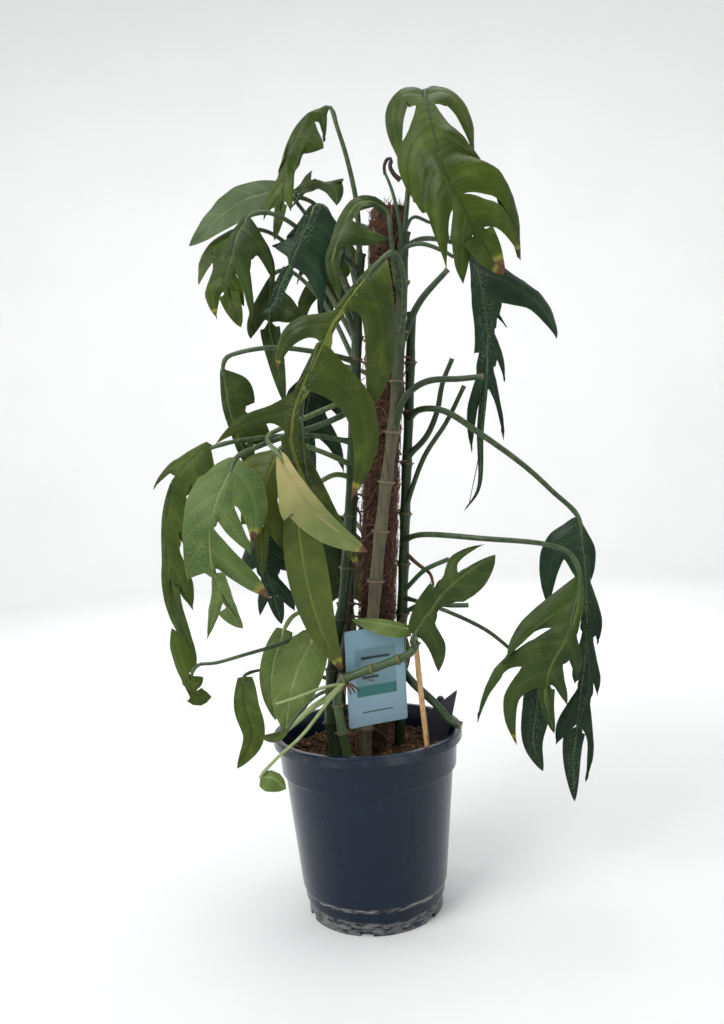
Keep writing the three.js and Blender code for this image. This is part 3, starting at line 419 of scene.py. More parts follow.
def fibre(loose):
    """A thread that lies round the sleeve and stands off it by up to loose millimetres."""
    turn = dice.uniform(0, 2 * math.pi)
    z = dice.uniform(116, POLE_TOP - 2)
    sweep = dice.gauss(0, 0.55)
    climb = dice.gauss(0, 9)
    bulge = loose * dice.uniform(0.5, 1)
    wave = dice.uniform(0, 6.28)
    curl = dice.uniform(0.05, 0.22)

    def path(t):
        z_here = z + climb * (t - 0.5) + 2.2 * math.sin(wave + 7 * t)
        stand = POLE_RADIUS - 0.5 + bulge * math.sin(math.pi * t) + 0.5 * math.sin(wave + 11 * t)
        return round_pole(turn + sweep * (t - 0.5) + curl * math.sin(wave + 5 * t), z_here, stand)

    return path, dice.uniform(0.16, 0.32), dice.random()


def frayed_end():
    """A thread that sticks out of the sleeve's top."""
    turn = dice.uniform(0, 2 * math.pi)
    base = dice.uniform(3, POLE_RADIUS)
    lean = dice.gauss(0, 0.5)
    tall = dice.uniform(2, 8)
    bend = dice.gauss(0, 4)

    def path(t):
        return round_pole(turn + lean * t, POLE_TOP - 5 + (tall + 5) * t, base + bend * t * t)

    return path, 0.25, dice.random()


flat_fibres = [fibre(1.3) for i in range(2300)]
loose_fibres = [fibre(4.5) for i in range(200)]
frayed_ends = [frayed_end() for i in range(170)]
bundle(coir, flat_fibres + loose_fibres, 3, 7, from_pole, shade_layer)
bundle(coir, frayed_ends, 3, 5, lambda point: Vector((1, 0.2, 0)), shade_layer)
weld(coir)
bmesh.ops.recalc_face_normals(coir, faces=coir.faces)

coir_finish = Finish("coir_fibre", Roughness=0.85, Specular_IOR_Level=0.25, Sheen_Weight=0.15)
tone = coir_finish.attribute("tone")
here = coir_finish.place()
mat = coir_finish.noise(here, 300, 4, 0.6)
colour = coir_finish.mix(coir_finish.rise(mat, 0.35, 0.7), paint(42, 26, 18), paint(80, 53, 38))
colour = coir_finish.mix(coir_finish.rise(tone, 0.02, 0.6), colour, paint(118, 80, 57))
colour = coir_finish.mix(coir_finish.rise(tone, 0.76, 1.0), colour, paint(166, 128, 94))
coir_finish.feed(Base_Color=colour)
coir_finish.bump(mat, 0.6)
piece("coir_matting", coir, [coir_finish], "coir", "coir_sleeve", sharp=80)

stake_finish = Finish("stake_wood", Roughness=0.8)
grain = stake_finish.noise(stake_finish.place((1, 1, 0.05)), 900, 4)
stake_finish.feed(Base_Color=stake_finish.mix(grain, paint(150, 112, 74), paint(196, 158, 112)))
stake_finish.bump(grain, 0.2)
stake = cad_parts["pole_core"].data
stake.materials.clear()
stake.materials.append(stake_finish.material)

# The stems
# Six climbing stems, up to 11 mm thick, held to the coir by their own roots. Each is jointed, with a
# papery scar at every joint and stubs where old leaf stalks were cut. The oldest are grey-brown and corky,
# the younger ones dark green, and the runner at the foot is a lighter green.

EYE = Vector((5, -726, 370))


def seen(x, z, out):
    """A point of the front view: x and z as seen on the plane of the pole, out towards the eye."""
    nearer = (-EYE.y - out) / -EYE.y
    return Vector((EYE.x + (x - EYE.x) * nearer, -out, EYE.z + (z - EYE.z) * nearer)) * MM


class Line:
    """A smooth line through points, measured along its length from 0 to 1."""

    STEPS = 40
    SAMPLES = 320

    def __init__(self, points):
        ends = [points[0] * 2 - points[1], *points, points[-1] * 2 - points[-2]]
        track = []
        for before, start, end, after in zip(ends, ends[1:], ends[2:], ends[3:]):
            pairs = ((before, start), (start, end), (end, after))
            gaps = [max(1e-6, (b - a).length) ** 0.5 for a, b in pairs]
            first = (start - before) / gaps[0] - (end - before) / (gaps[0] + gaps[1])
            first = (first + (end - start) / gaps[1]) * gaps[1]
            last = (end - start) / gaps[1] - (after - start) / (gaps[1] + gaps[2])
            last = (last + (after - end) / gaps[2]) * gaps[1]
            for k in range(self.STEPS):
                t = k / self.STEPS
                rise = t * t * (3 - 2 * t)
                bend = first * (t - 2 * t * t + t**3) + last * (t**3 - t * t)
                track.append(start.lerp(end, rise) + bend)
        track = np.array([*track, points[-1]])
        run = np.concatenate([[0], np.cumsum(np.linalg.norm(np.diff(track, axis=0), axis=1))])
        even = np.linspace(0, run[-1], self.SAMPLES + 1)
        self.length = run[-1]
        self.track = [Vector(p) for p in np.stack([np.interp(even, run, track[:, k]) for k in range(3)], 1)]

    def at(self, s):
        spot = min(1, max(0, s)) * self.SAMPLES
        k = min(int(spot), self.SAMPLES - 1)
        return self.track[k].lerp(self.track[k + 1], spot - k)

    def heading(self, s):
        return (self.at(s + 0.006) - self.at(s - 0.006)).normalized()


def tube(bm, line, stations, radius_at, sides, rough_by=0.0):
    """A closed round tube along a line. radius_at(u) is in millimetres. Returns its corners."""
    across = []
    side = line.heading(0).orthogonal().normalized()
    for u in stations:
        heading = line.heading(u)
        side = (side - heading * side.dot(heading)).normalized()
        across.append((side, heading.cross(side)))
    last = len(stations) + 1

    def place(c, t):
        k = round(t * last)
        n = min(len(stations) - 1, max(0, k - 1))
        middle = line.at(stations[n])
        if k in (0, last):
            return middle
        turn = 2 * math.pi * c
        spoke = across[n][0] * math.cos(turn) + across[n][1] * math.sin(turn)
        wide = radius_at(stations[n]) * (1 + rough_by * rough(middle + spoke * 0.006, 4))
        return middle + spoke * wide * MM

    return patch(bm, sides, last, place)


def bark_finish(name, skin, streak, scar, gloss, young=None):
    """The skin of a stem. Above 410 mm it turns to the colour named young."""
    made = Finish(name, Roughness=gloss, Specular_IOR_Level=0.4)
    here = made.place()
    grain = made.noise(made.place((1, 1, 0.06)), 700, 4, 0.6)
    blotch = made.noise(here, 60, 3)
    paper = made.attribute("scar")
    colour = made.mix(made.rise(grain, 0.4, 0.68), skin, streak)
    colour = made.mix(made.rise(blotch, 0.5, 0.75) * 0.5, colour, skin)
    if young:
        colour = made.mix(made.rise(made.height_up() + blotch * 0.08, 0.43, 0.5) * 0.85, colour, young)
    colour = made.mix(paper, colour, scar)
    made.feed(Base_Color=colour)
    made.bump(grain + blotch * 0.5, 0.35)
    return made


corky = bark_finish(
    "stem_corky", paint(98, 92, 70), paint(66, 60, 46), paint(140, 120, 94), 0.65, young=paint(44, 58, 34)
)
green_bark = bark_finish("stem_green", paint(36, 56, 30), paint(54, 72, 42), paint(104, 92, 66), 0.45)
young_bark = bark_finish("stem_young", paint(56, 76, 44), paint(76, 94, 56), paint(128, 108, 74), 0.42)
dice = random.Random(23)


def collar(bm, line, u, radius, scar_layer):
    """The papery edge that an old leaf leaves round a joint."""
    heading = line.heading(u)
    side = heading.orthogonal().normalized()
    tilt = dice.gauss(0, 0.25)
    rim = [(1.05, -0.4), (1.15, 0.5), (1.22, 1.1), (1.15, 1.0), (1.02, 0.2), (1.05, -0.4)]
    last = len(rim) - 1

    def place(c, t):
        turn = 2 * math.pi * c
        wide, lift = rim[round(t * last)]
        spoke = side * math.cos(turn) + heading.cross(side) * math.sin(turn)
        ragged = 0.08 * math.sin(3 * turn + u * 90) + 0.05 * math.sin(7 * turn + u * 40)
        lift += tilt * math.cos(turn) * 2
        return line.at(u) + spoke * radius * (wide + ragged * max(0, lift)) * MM + heading * lift * MM

    for corner in patch(bm, 18, last, place):
        corner[scar_layer] = dice.uniform(0.5, 1)


def climbing_stem(node, finish, slot, path, radius, internodes, stubs=(), stub_finish=None):
    """Makes a stem that thins towards its top. A stub is its points and its two radii. Returns the line."""
    bm = bmesh.new()
    bm.loops.layers.uv.new("face")
    scar_layer = bm.verts.layers.float.new("scar")
    line = Line([seen(*p) for p in path])
    parts = (0, 0.015, 0.04, 0.08, 0.2, 0.35, 0.5, 0.65, 0.8, 0.92, 0.96, 0.985)
    stations = [(i + part) / internodes for i in range(internodes) for part in parts] + [1]

    def radius_at(u):
        off = abs(u * internodes - round(u * internodes))
        swelling = 0.22 * math.exp(-((off / 0.045) ** 2)) + 0.05 * math.cos(2 * math.pi * u * internodes)
        return radius * (1 - 0.2 * u) * (1 + swelling)

    tube(bm, line, stations, radius_at, 16, 0.05)
    for i in range(1, internodes):
        collar(bm, line, i / internodes, radius_at(i / internodes), scar_layer)
    for points, start, end in stubs:
        branch = Line([seen(*p) for p in points])

        def stub_radius(u):
            return start + (end - start) * u + 0.9 * math.exp(-((u / 0.06) ** 2)) + 0.25 * (u > 0.96)

        corners = tube(bm, branch, [k / 24 for k in range(25)], stub_radius, 12, 0.03)
        for corner in corners:
            corner[scar_layer] = 0.55 if (corner.co - branch.at(1)).length < 4 * MM else 0
        for face in {face for corner in corners for face in corner.link_faces}:
            face.material_index = 1
    weld(bm)
    bmesh.ops.recalc_face_normals(bm, faces=bm.faces)
    piece(node.replace("stem", "climbing_stem"), bm, [finish, stub_finish or finish], slot, node, sharp=60)
    return line


front = climbing_stem(
    "stem_front", corky, "stem_bark", radius=5.6, internodes=11, stub_finish=green_bark,
    path=[(-3, 110, 24), (-2, 150, 26), (3, 200, 25), (10, 250, 24), (17, 300, 23.5), (25, 350, 24),
        (34, 400, 24), (41, 450, 22.5), (46, 500, 20.5), (50, 545, 19), (52, 566, 18.5)],
    stubs=[
        ([(46, 478, 20), (62, 508, 26), (87, 534, 34)], 3.4, 2.2),
        ([(34, 398, 24), (46, 430, 30), (64, 442, 32), (94, 443, 40), (112, 444, 48)], 3.2, 2.2),
    ],
)
right = climbing_stem(
    "stem_right", green_bark, "stem_green", radius=4.8, internodes=9,
    path=[(26, 122, -9), (28, 160, -7), (31, 210, -6), (35.5, 260, -6), (39.5, 310, -7), (43.5, 360, -8),
        (48, 410, -9), (52, 460, -10), (55, 500, -10)],
    stubs=[
        ([(45, 380, -8), (62, 396, 0), (72, 416, 4), (78, 440, 6), (87, 460, 8)], 2.8, 1.9),
        ([(41.5, 337, -7), (60, 380, 8), (80, 408, 14), (96, 437, 20)], 2.3, 1.8),
        ([(30.5, 203, -6), (40, 189, 12), (60, 168, 26), (71, 154, 32), (80, 149, 36)], 3.6, 3.2),
    ],
)
left = climbing_stem(
    "stem_left", green_bark, "stem_green", radius=4.8, internodes=10,
    path=[(-25, 112, 20), (-31, 160, 16), (-26, 210, 10), (-15, 260, 7), (-8, 310, 6), (-3, 360, 5),
        (1.5, 410, 4), (6, 460, 4), (10.5, 510, 4), (15, 550, 4)],
    stubs=[([(9, 500, 4), (-1, 516, 6), (-7, 533, 8)], 3, 2.4)],
)
left_back = climbing_stem(
    "stem_left_back", corky, "stem_bark", radius=4.6, internodes=9,
    path=[(-20, 122, -4), (-22, 170, -8), (-14, 230, -12), (-7, 290, -13), (-2, 350, -13), (3, 410, -13),
        (8, 470, -13), (12, 526, -13)],
)
back = climbing_stem(
    "stem_back", corky, "stem_bark", radius=4.8, internodes=10,
    path=[(8, 122, -26), (10, 170, -24), (14, 230, -22.5), (20, 300, -22.5), (26, 370, -22.5),
        (32, 440, -22.5), (38, 510, -22.5), (42, 560, -22.5)],
)
climbing_stem(
    "stem_runner", young_bark, "stem_green", radius=4, internodes=7,
    path=[(-14, 103, 38), (-18, 130, 42), (-23, 160, 46), (-24, 180, 46), (-19, 193, 46), (-4, 199, 47),
        (16, 205, 47), (40, 214, 46), (46, 224, 44)],
)

# The clinging roots
# Brown roots as thick as string, which grow from the stems' joints, lie round the coir and end in it.
# They alone hold the stems to the pole.


def hook_round(start, sweep, fall, radius):
    """A root that leaves a joint, lies round the coir and ends in it."""
    flat = from_pole(start)
    turn = math.atan2(flat.y, flat.x)
    z = start.z / MM
    reach = flat.length / MM

    def path(t):
        stand = reach + (POLE_RADIUS + 1.0 - reach) * min(1, 1.6 * t) + 0.5 * math.sin(9 * t)
        stand -= 2.5 * max(0, t - 0.85) / 0.15
        return round_pole(turn + sweep * t, z + fall * t + 1.5 * math.sin(5 * t), stand)

    return path, radius, 0.0


root_finish = bark_finish("aerial_root", paint(98, 68, 48), paint(64, 44, 32), paint(130, 104, 76), 0.8)
roots = bmesh.new()
roots.loops.layers.uv.new("face")
scar_layer = roots.verts.layers.float.new("scar")
hooks = []
for line, joints in ((front, 11), (right, 9), (left, 10), (left_back, 9), (back, 10)):
    for i in range(1, joints):
        for k in range(dice.choice((1, 2, 2))):
            joint = line.at((i + 0.03) / joints)
            sweep = dice.choice((-1, 1)) * dice.uniform(0.5, 1.7)
            fall = dice.uniform(-26, 8)
            hooks.append(hook_round(joint, sweep, fall, dice.uniform(0.55, 1.0)))
bundle(roots, hooks, 6, 14, from_pole, scar_layer)
weld(roots)
bmesh.ops.recalc_face_normals(roots, faces=roots.faces)
piece("aerial_roots", roots, [root_finish], "stem_bark", sharp=60)

# The leaves
# Each leaf grew as one piece: a round stalk from a stem, a joint like a knee, and a leathery blade whose
# halves are cut into lobes that hang and curl. The blade is grooved along its midrib, which stands out
# below. Some tips are dry and brown, and some blades are wet.

RIGHT = -1
LEFT = 1
ROWS = 20
LOBE_FULLNESS = 1.5
LOBE_GAP = 2.2
BLADE_THICKNESS = 0.55
VEINS_PER_LOBE = 8
VEIN_SPACING = 2.1


def clamp(t):
    return min(1.0, max(0.0, t))


def smooth(t):
    return t * t * (3 - 2 * t)


class Rib:
    """The midrib, with the way the blade faces along it."""

    def __init__(self, points, face, face_end):
        self.line = Line([seen(*p) for p in points])
        self.face = Vector(face)
        self.face_end = Vector(face_end or face)

    def facing(self, s):
        along = self.line.heading(s)
        up = self.face.lerp(self.face_end, clamp(s))
        return (up - along * up.dot(along)).normalized()

    def outward(self, s, side):
        return self.line.heading(s).cross(self.facing(s)) * side


def lobe(rib, start, end, side, fused, x, z, out, mean, lean, swing):
    """A pointed lobe between two stations of the midrib: place(c, t), and its length. It runs to a tip at
    x, z and out, is mean millimetres wide, and leaves the midrib at lean degrees from square to it. It
    turns towards its tip after swing of the way."""
    middle = (start + end) / 2
    root = rib.line.at(middle)
    tip = seen(x, z, out)
    along = rib.line.heading(middle)
    facing = rib.facing(middle)
    angle = math.radians(lean)
    first = rib.outward(middle, side) * math.cos(angle) + along * math.sin(angle)
    turning = root + first * swing * (tip - root).length
    axis = first.cross(tip - turning)
    axis = axis.normalized() if axis.length > 1e-6 else facing
    across = facing.cross(first).normalized()
    if across.dot(along) < 0:
        across = -across
    on_axis = across.dot(axis)
    off_axis = across.dot(axis.cross(first))
    root_half = (rib.line.at(end) - rib.line.at(start)) / 2
    width = mean * LOBE_FULLNESS * MM

    def place(c, t):
        if t == 0:
            return rib.line.at(start + (end - start) * c)
        heading = (turning - root).lerp(tip - turning, t).normalized()
        sideways = axis * on_axis + axis.cross(heading) * off_axis
        up = heading.cross(sideways) * -side
        taper = (1 - t**3.2) ** 0.8
        settle = smooth(clamp(t / max(fused, 0.3)))
        half = root_half.lerp(sideways * width / 2, settle) * taper
        q = 2 * c - 1
        bend = root.lerp(turning, t).lerp(turning.lerp(tip, t), t)
        return bend + half * q + up * 0.14 * width * taper * q * q * settle

    return place, (tip - root).length * 1.08


def margin(rib, start, end, side, half_width, droop):
    """An uncut side between two stations of the midrib, that falls away from it by droop."""
    whole = start == 0 and end == 1

    def place(c, t):
        s = start + (end - start) * c
        half = half_width * MM
        if whole:
            half *= math.sin(math.pi * (0.1 + 0.9 * s) ** 0.8) ** 0.75 if s < 1 else 0
        elif end == 1:
            half *= (1 - c**1.8) ** 0.75
        elif start == 0:
            half *= 0.4 + 0.6 * math.sqrt(c)
        return rib.line.at(s) + rib.outward(s, side) * half * t - UP * half * droop * t * t

    return place, half_width * MM


def blade_half(bm, layers, rib, cuts, shapes, side, fused, columns, dry, slits):
    """One half of a blade, a patch for each lobe, sewn to its neighbours as far as they are fused."""
    away, dead, edge, veins = layers
    starts = [0, *cuts[:-1]]
    plain = [len(shape) == 2 for shape in shapes]
    fused = [1.0 if a and b else share for a, b, share in zip(plain, plain[1:], fused)]
    made = []
    for i, shape in enumerate(shapes):
        if plain[i]:
            made.append(margin(rib, starts[i], cuts[i], side, *shape))
        else:
            share = min(fused[max(0, i - 1)], fused[min(i, len(fused) - 1)])
            made.append(lobe(rib, starts[i], cuts[i], side, share, *shape))
    for which, border, _, end, _ in slits:
        if which == side:
            fused[border] = max(fused[border], end)
    phase = 0.0
    for i, ((place, length), columns_here) in enumerate(zip(made, columns)):
        facts = {}
        span = (cuts[i] - starts[i]) * rib.line.length
        beats = VEINS_PER_LOBE
        if plain[i]:
            beats = VEINS_PER_LOBE * max(1, round(span / (VEINS_PER_LOBE * VEIN_SPACING * MM)))

        def shift(c_edge, t):
            """How far a border column moves to meet the neighbouring lobe, and then to leave it."""
            k = i - 1 if c_edge == 0 else i
            if k < 0 or k + 1 >= len(made):
                return Vector()
            low = min(t, fused[k])
            pull = made[k][0](1, low).lerp(made[k + 1][0](0, low), 0.5) - place(c_edge, low)
            past = max(0.0, t - fused[k])
            pull *= 1 - smooth(clamp(past / 0.25))
            inward = (place(0.5, t) - place(c_edge, t)).normalized() if t < 1 else Vector()
            gap = 0.0
            if past > 0 and t < 0.97:
                opened = min(1.0, past * length / (LOBE_GAP * MM))
                gap = LOBE_GAP / 2 * math.sqrt(1 - (1 - opened) ** 2)
            for which, border, start, end, wide in slits:
                if which == side and border == k and start < t < end:
                    gap = max(gap, wide / 2 * math.sqrt(1 - ((2 * t - start - end) / (end - start)) ** 2))
            return pull + inward * gap * MM

        def sewn(c, t):
            spot = place(c, t)
            if t > 0:
                if c < 0.5:
                    spot = spot + shift(0, t) * smooth(1 - 2 * c)
                if c > 0.5:
                    spot = spot + shift(1, t) * smooth(2 * c - 1)
            facts[tuple(spot)] = t
            return spot

        corners = patch(bm, columns_here, ROWS, sewn)
        faces = {face for corner in corners for face in corner.link_faces}
        if side == LEFT:
            bmesh.ops.reverse_faces(bm, faces=list(faces))
        dry_length = dry.get((side, i), 0) * MM
        tip = rib.line.at(1) if plain[i] else place(0.5, 1)
        reach = length if not plain[i] else shapes[i][0] * MM
        for corner in corners:
            t = facts[tuple(corner.co)]
            corner[away] = t * reach / MM
            if dry_length:
                corner[dead] = 1 - smooth(clamp((corner.co - tip).length / dry_length - 0.25))
        for face in faces:
            for loop in face.loops:
                c = loop[veins].uv.x
                t = facts[tuple(loop.vert.co)]
                loop.vert[edge] = max(loop.vert[edge], abs(2 * c - 1) if not plain[i] else t)
                forward = 0.0
                if plain[i]:
                    forward = 0.9 * t * reach / (VEIN_SPACING * MM)
                loop[veins].uv = (phase + beats * c - forward, t)
        phase += beats


def leaf(name, finishes, stalk, midrib, face, cuts, right, left, fused=0.3, face_end=None,
         thick=(2.4, 1.7), dry=(), slits=()):
    """Makes one leaf. Its midrib is cut into stations, and right and left say what stands on each: six
    numbers for a lobe, two for a plain side. Fused is how far neighbours are joined, thick the stalk's
    two radii, dry the length of brown at a tip, and a slit is a side, a border, its ends and its width."""
    rib = Rib(midrib, face, face_end)
    bm = bmesh.new()
    veins = bm.loops.layers.uv.new("veins")
    layers = [bm.verts.layers.float.new(word) for word in ("away", "dead", "edge")] + [veins]
    starts = [0, *cuts[:-1]]
    columns = []
    for a, b, one, other in zip(starts, cuts, right, left):
        plain = max(len(one), len(other)) <= 2
        span = (b - a) * rib.line.length / MM
        columns.append(2 * max(2 if plain else 5, round(span / 8)))
    shares = fused if isinstance(fused, tuple) else (fused,) * (len(cuts) - 1)
    for side, shapes in ((RIGHT, right), (LEFT, left)):
        blade_half(bm, layers, rib, cuts, shapes, side, shares, columns, dict(dry), slits)
    weld(bm)
    bm.normal_update()
    away, dead, edge, veins = layers
    moves = []
    for corner in bm.verts:
        groove = -0.45 * math.exp(-((corner[away] / 1.6) ** 2))
        if corner[edge] < 0.6:
            groove -= 0.35 * math.exp(-((corner[edge] / 0.16) ** 2)) * clamp(corner[away] / 4)
        loose = clamp(corner[away] / 14)
        wave = 1.5 * loose * rough(corner.co, 26, 2) + 0.45 * loose * rough(corner.co, 9, 2)
        moves.append(corner.normal * (groove + wave + 1.5 * corner[dead] * rough(corner.co, 4, 1)) * MM)
    for corner, move in zip(bm.verts, moves):
        corner.co += move
    bm = settled(bm, "SOLIDIFY", thickness=BLADE_THICKNESS * MM, offset=-1.0, material_offset=1)

    knee_layer = bm.verts.layers.float.get("away")
    petiole = [seen(*p) for p in stalk]
    base = rib.line.at(0)
    below = ((0.08, 1.5), (0.4, 1.2), (0.75, 0.9), (0.97, 0.4))
    under = [rib.line.at(s) - rib.facing(s) * depth * MM for s, depth in below]
    stalk_line = Line([*petiole, base, *under])
    bend = Line([*petiole, base]).length / stalk_line.length
    foot, neck = thick

    def radius_at(u):
        if u < bend:
            wide = foot + (neck - foot) * u / bend + 0.9 * math.exp(-((u / bend / 0.05) ** 2))
            return wide + 0.35 * math.exp(-(((u - bend) * stalk_line.length / MM + 7) / 4) ** 2)
        return neck + (0.3 - neck) * ((u - bend) / (1 - bend)) ** 0.7

    count = max(16, round(stalk_line.length / MM / 4))
    corners = tube(bm, stalk_line, [k / count for k in range(count + 1)], radius_at, 10)
    for corner in corners:
        corner[knee_layer] = math.exp(-((((corner.co - base).length / MM - 5) / 6) ** 2))
    for face in {face for corner in corners for face in corner.link_faces}:
        face.material_index = 2
    weld(bm)
    bmesh.ops.recalc_face_normals(bm, faces=[face for face in bm.faces if face.material_index == 2])
    *skins, slot = finishes
    piece(name.replace("leaf", "blade"), bm, skins, slot, name, sharp=55)


def blade_finish(name, blade, shade, vein, rib=None, crest=None, rough_at=0.42, wet=0.0, wet_reach=None,
                 contrast=1.0, patches=24):
    """The upper skin of a leaf. Water beads stand on it as far from the midrib as wet_reach, lightened by a
    painted highlight, and crest is a colour that comes on between two heights in metres."""
    made = Finish(name, Specular_IOR_Level=0.22)
    here = made.place()
    lines = made.node("UVMap", {"uv_map": "veins"})
    phase = made.node("SeparateXYZ", inputs={0: lines}, output=0)
    away = made.attribute("away")
    dead = made.attribute("dead")
    edge = made.attribute("edge")
    blotch = made.noise(here, patches, 3)
    fine = made.noise(here, 480, 3)
    beat = abs((phase % VEINS_PER_LOBE) - VEINS_PER_LOBE / 2)
    main = 1 - made.rise(beat, 0.0, 0.7)
    small = 1 - made.rise(abs((phase % 1) - 0.5), 0.0, 0.3)
    swell = made.rise(beat, 0.0, 3.2)
    colour = made.mix(made.rise(blotch, 0.36, 0.64), blade, shade)
    if crest:
        tint, low, high = crest
        above = made.rise(made.height_up() + blotch * 0.02, low, high)
        colour = made.mix(above * 0.85, colour, paint(*tint))
    mottle = made.noise(here, patches * 3, 4, 0.6)
    colour = made.mix(made.rise(mottle, 0.46, 0.72) * 0.35, colour, vein)
    colour = made.mix(swell * 0.24 * contrast, colour, shade)
    colour = made.mix((main * 0.2 + small * 0.08) * contrast, colour, vein)
    colour = made.mix(1 - made.rise(away, 0.4, 1.2), colour, paint(*rib) if rib else vein)
    colour = made.mix(made.rise(edge, 0.93, 1.0) * 0.25, colour, vein)
    colour = made.mix(made.rise(fine, 0.62, 0.8) * 0.25, colour, vein)
    colour = made.mix(made.rise(dead, 0.01, 0.25) * 0.75, colour, paint(146, 140, 58))
    brown = made.mix(fine, paint(50, 32, 26), paint(124, 92, 64))
    colour = made.mix(made.rise(dead, 0.3, 0.62), colour, brown)
    height = swell * 0.6 - small * 0.16 - main * 0.3 + fine * 0.12
    gloss = rough_at + fine * 0.12 + dead * 0.3
    if wet:
        near = made.node("TexVoronoi", {"feature": "F1"}, {"Vector": here, "Scale": 560.0})
        few = made.rise(made.noise(here, 34, 2), 0.36, 0.6)
        if wet_reach:
            few = few * (1 - made.rise(away, wet_reach / 2, wet_reach))
        bead = (1 - made.rise(near, 0.16, 0.4)) * few * wet
        height = height + bead * 1.2
        gloss = gloss - bead * 0.34
        # Each bead is lightened towards a pale grey-green: a painted highlight for the light the clear
        # water catches.
        colour = made.mix(bead * 0.3, colour, paint(190, 200, 176))
    made.feed(Base_Color=colour, Roughness=gloss)
    made.bump(height, 0.55)
    return made


def under_finish(name, skin, vein):
    """The paler, duller skin under a leaf."""
    made = Finish(name, Roughness=0.62, Specular_IOR_Level=0.3)
    here = made.place()
    lines = made.node("UVMap", {"uv_map": "veins"})
    phase = made.node("SeparateXYZ", inputs={0: lines}, output=0)
    beat = abs((phase % VEINS_PER_LOBE) - VEINS_PER_LOBE / 2)
    main = 1 - made.rise(beat, 0.0, 0.7)
    small = 1 - made.rise(abs((phase % 1) - 0.5), 0.0, 0.3)
    fine = made.noise(here, 500, 3)
    dead = made.attribute("dead")
    colour = made.mix(main * 0.5 + small * 0.15, skin, vein)
    colour = made.mix(fine * 0.3, colour, vein)
    colour = made.mix(dead, colour, made.mix(fine, paint(76, 48, 32), paint(126, 92, 64)))
    made.feed(Base_Color=colour)
    made.bump(main * 0.8 + small * 0.25 + fine * 0.2, 0.5)
    return made


def stalk_skin(name, skin, knee):
    """A leaf stalk's skin, paler at the knee under the blade."""
    made = Finish(name, Roughness=0.42, Specular_IOR_Level=0.45)
    here = made.place()
    fine = made.noise(here, 260, 3)
    joint = made.attribute("away")
    colour = made.mix(made.rise(fine, 0.4, 0.7), skin, knee)
    colour = made.mix(joint * 0.6, colour, knee)
    made.feed(Base_Color=colour)
    made.bump(fine, 0.15)
    return made


dark_stalk = stalk_skin("stalk_dark", paint(42, 62, 34), paint(72, 90, 52))
green_stalk = stalk_skin("stalk_green", paint(72, 94, 50), paint(98, 116, 70))
pale_stalk = stalk_skin("stalk_pale", paint(122, 140, 88), paint(148, 160, 112))
under_green = under_finish("under_green", paint(112, 132, 84), paint(140, 154, 104))
under_deep = under_finish("under_deep", paint(84, 110, 84), paint(118, 138, 106))


def look(name, slot, blade, shade, vein, under, stalk, **more):
    """The three skins of a leaf, upper, under and stalk, and its slot."""
    return blade_finish(name, paint(*blade), paint(*shade), paint(*vein), **more), under, stalk, slot


OLIVE = look(
    "leaf_olive", "leaf_young", (60, 78, 10), (43, 61, 8), (90, 104, 42), under_green, dark_stalk,
    rib=(44, 54, 18),
)
MOSS = look("leaf_moss", "leaf_green", (51, 69, 22), (36, 53, 15), (80, 96, 42), under_green, dark_stalk)
SAGE = look(
    "leaf_sage", "leaf_green", (88, 110, 56), (66, 90, 40), (118, 130, 68), under_green, dark_stalk, wet=1.0
)
GOLD = look(
    "leaf_gold", "leaf_green", (54, 70, 12), (40, 57, 16), (108, 116, 44), under_green, dark_stalk,
    rough_at=0.34, wet=1.0, wet_reach=9, contrast=0.4, patches=15,
)
STRAW = look(
    "leaf_straw", "leaf_young", (120, 128, 74), (92, 112, 62), (146, 140, 88), under_green, green_stalk,
    crest=((172, 158, 106), 0.335, 0.395), contrast=0.4, patches=13,
)
LIGHT = look(
    "leaf_light", "leaf_young", (104, 122, 66), (80, 101, 43), (120, 134, 78), under_green, pale_stalk
)
HANGING = look(
    "leaf_hanging", "leaf_young", (84, 92, 24), (58, 76, 34), (104, 110, 44), under_green, green_stalk,
    contrast=0.3, patches=14,
)
# The upper left leaf's grey-green is partly its own colour and partly painted sheen: the grey of sky light
# on its glossy top is put into its colour.
GREY_WITH_PAINTED_SHEEN = look(
    "leaf_grey_painted_sheen", "leaf_green", (82, 99, 66), (63, 81, 44), (98, 114, 80), under_green, dark_stalk,
    rough_at=0.5, contrast=1.3,
)
DEEP = look(
    "leaf_deep", "leaf_dark", (27, 51, 29), (19, 40, 23), (54, 78, 50), under_deep, dark_stalk,
    rough_at=0.38, wet=0.9, wet_reach=8,
)

leaf(
    "leaf_top_right", OLIVE,
    stalk=[(51, 556, 16), (57, 600, 14), (64, 650, 10)],
    midrib=[(74, 681, 22), (79, 656, 38), (84, 631, 48), (91, 607, 55), (101, 588, 58), (109, 568, 58),
        (120, 549, 56), (133, 527, 50)],
    face=(0.1, -1, 0.15), cuts=(0.08, 0.44, 0.6, 0.78, 1), fused=(0.1, 0.8, 0.3, 0.3),
    right=[(113, 627, 20, 19, -32, 0.74), (118, 622, 38, 18, 24, 0.4), (148, 538, 44, 23, -14, 0.88),
        (148, 541, 50, 12, 6, 0.66), (15, 0.1)],
    left=[(53, 622, 22, 18, -36, 0.78), (60, 594, 40, 19, 12, 0.52), (86, 533, 52, 15, 30, 0.42),
        (99, 521, 53, 14, 46, 0.34), (13, 0.1)],
    dry={(RIGHT, 4): 15, (LEFT, 4): 9, (RIGHT, 3): 8},
    slits=[(RIGHT, 2, 0.08, 0.62, 4), (LEFT, 2, 0.2, 0.6, 2)],
)
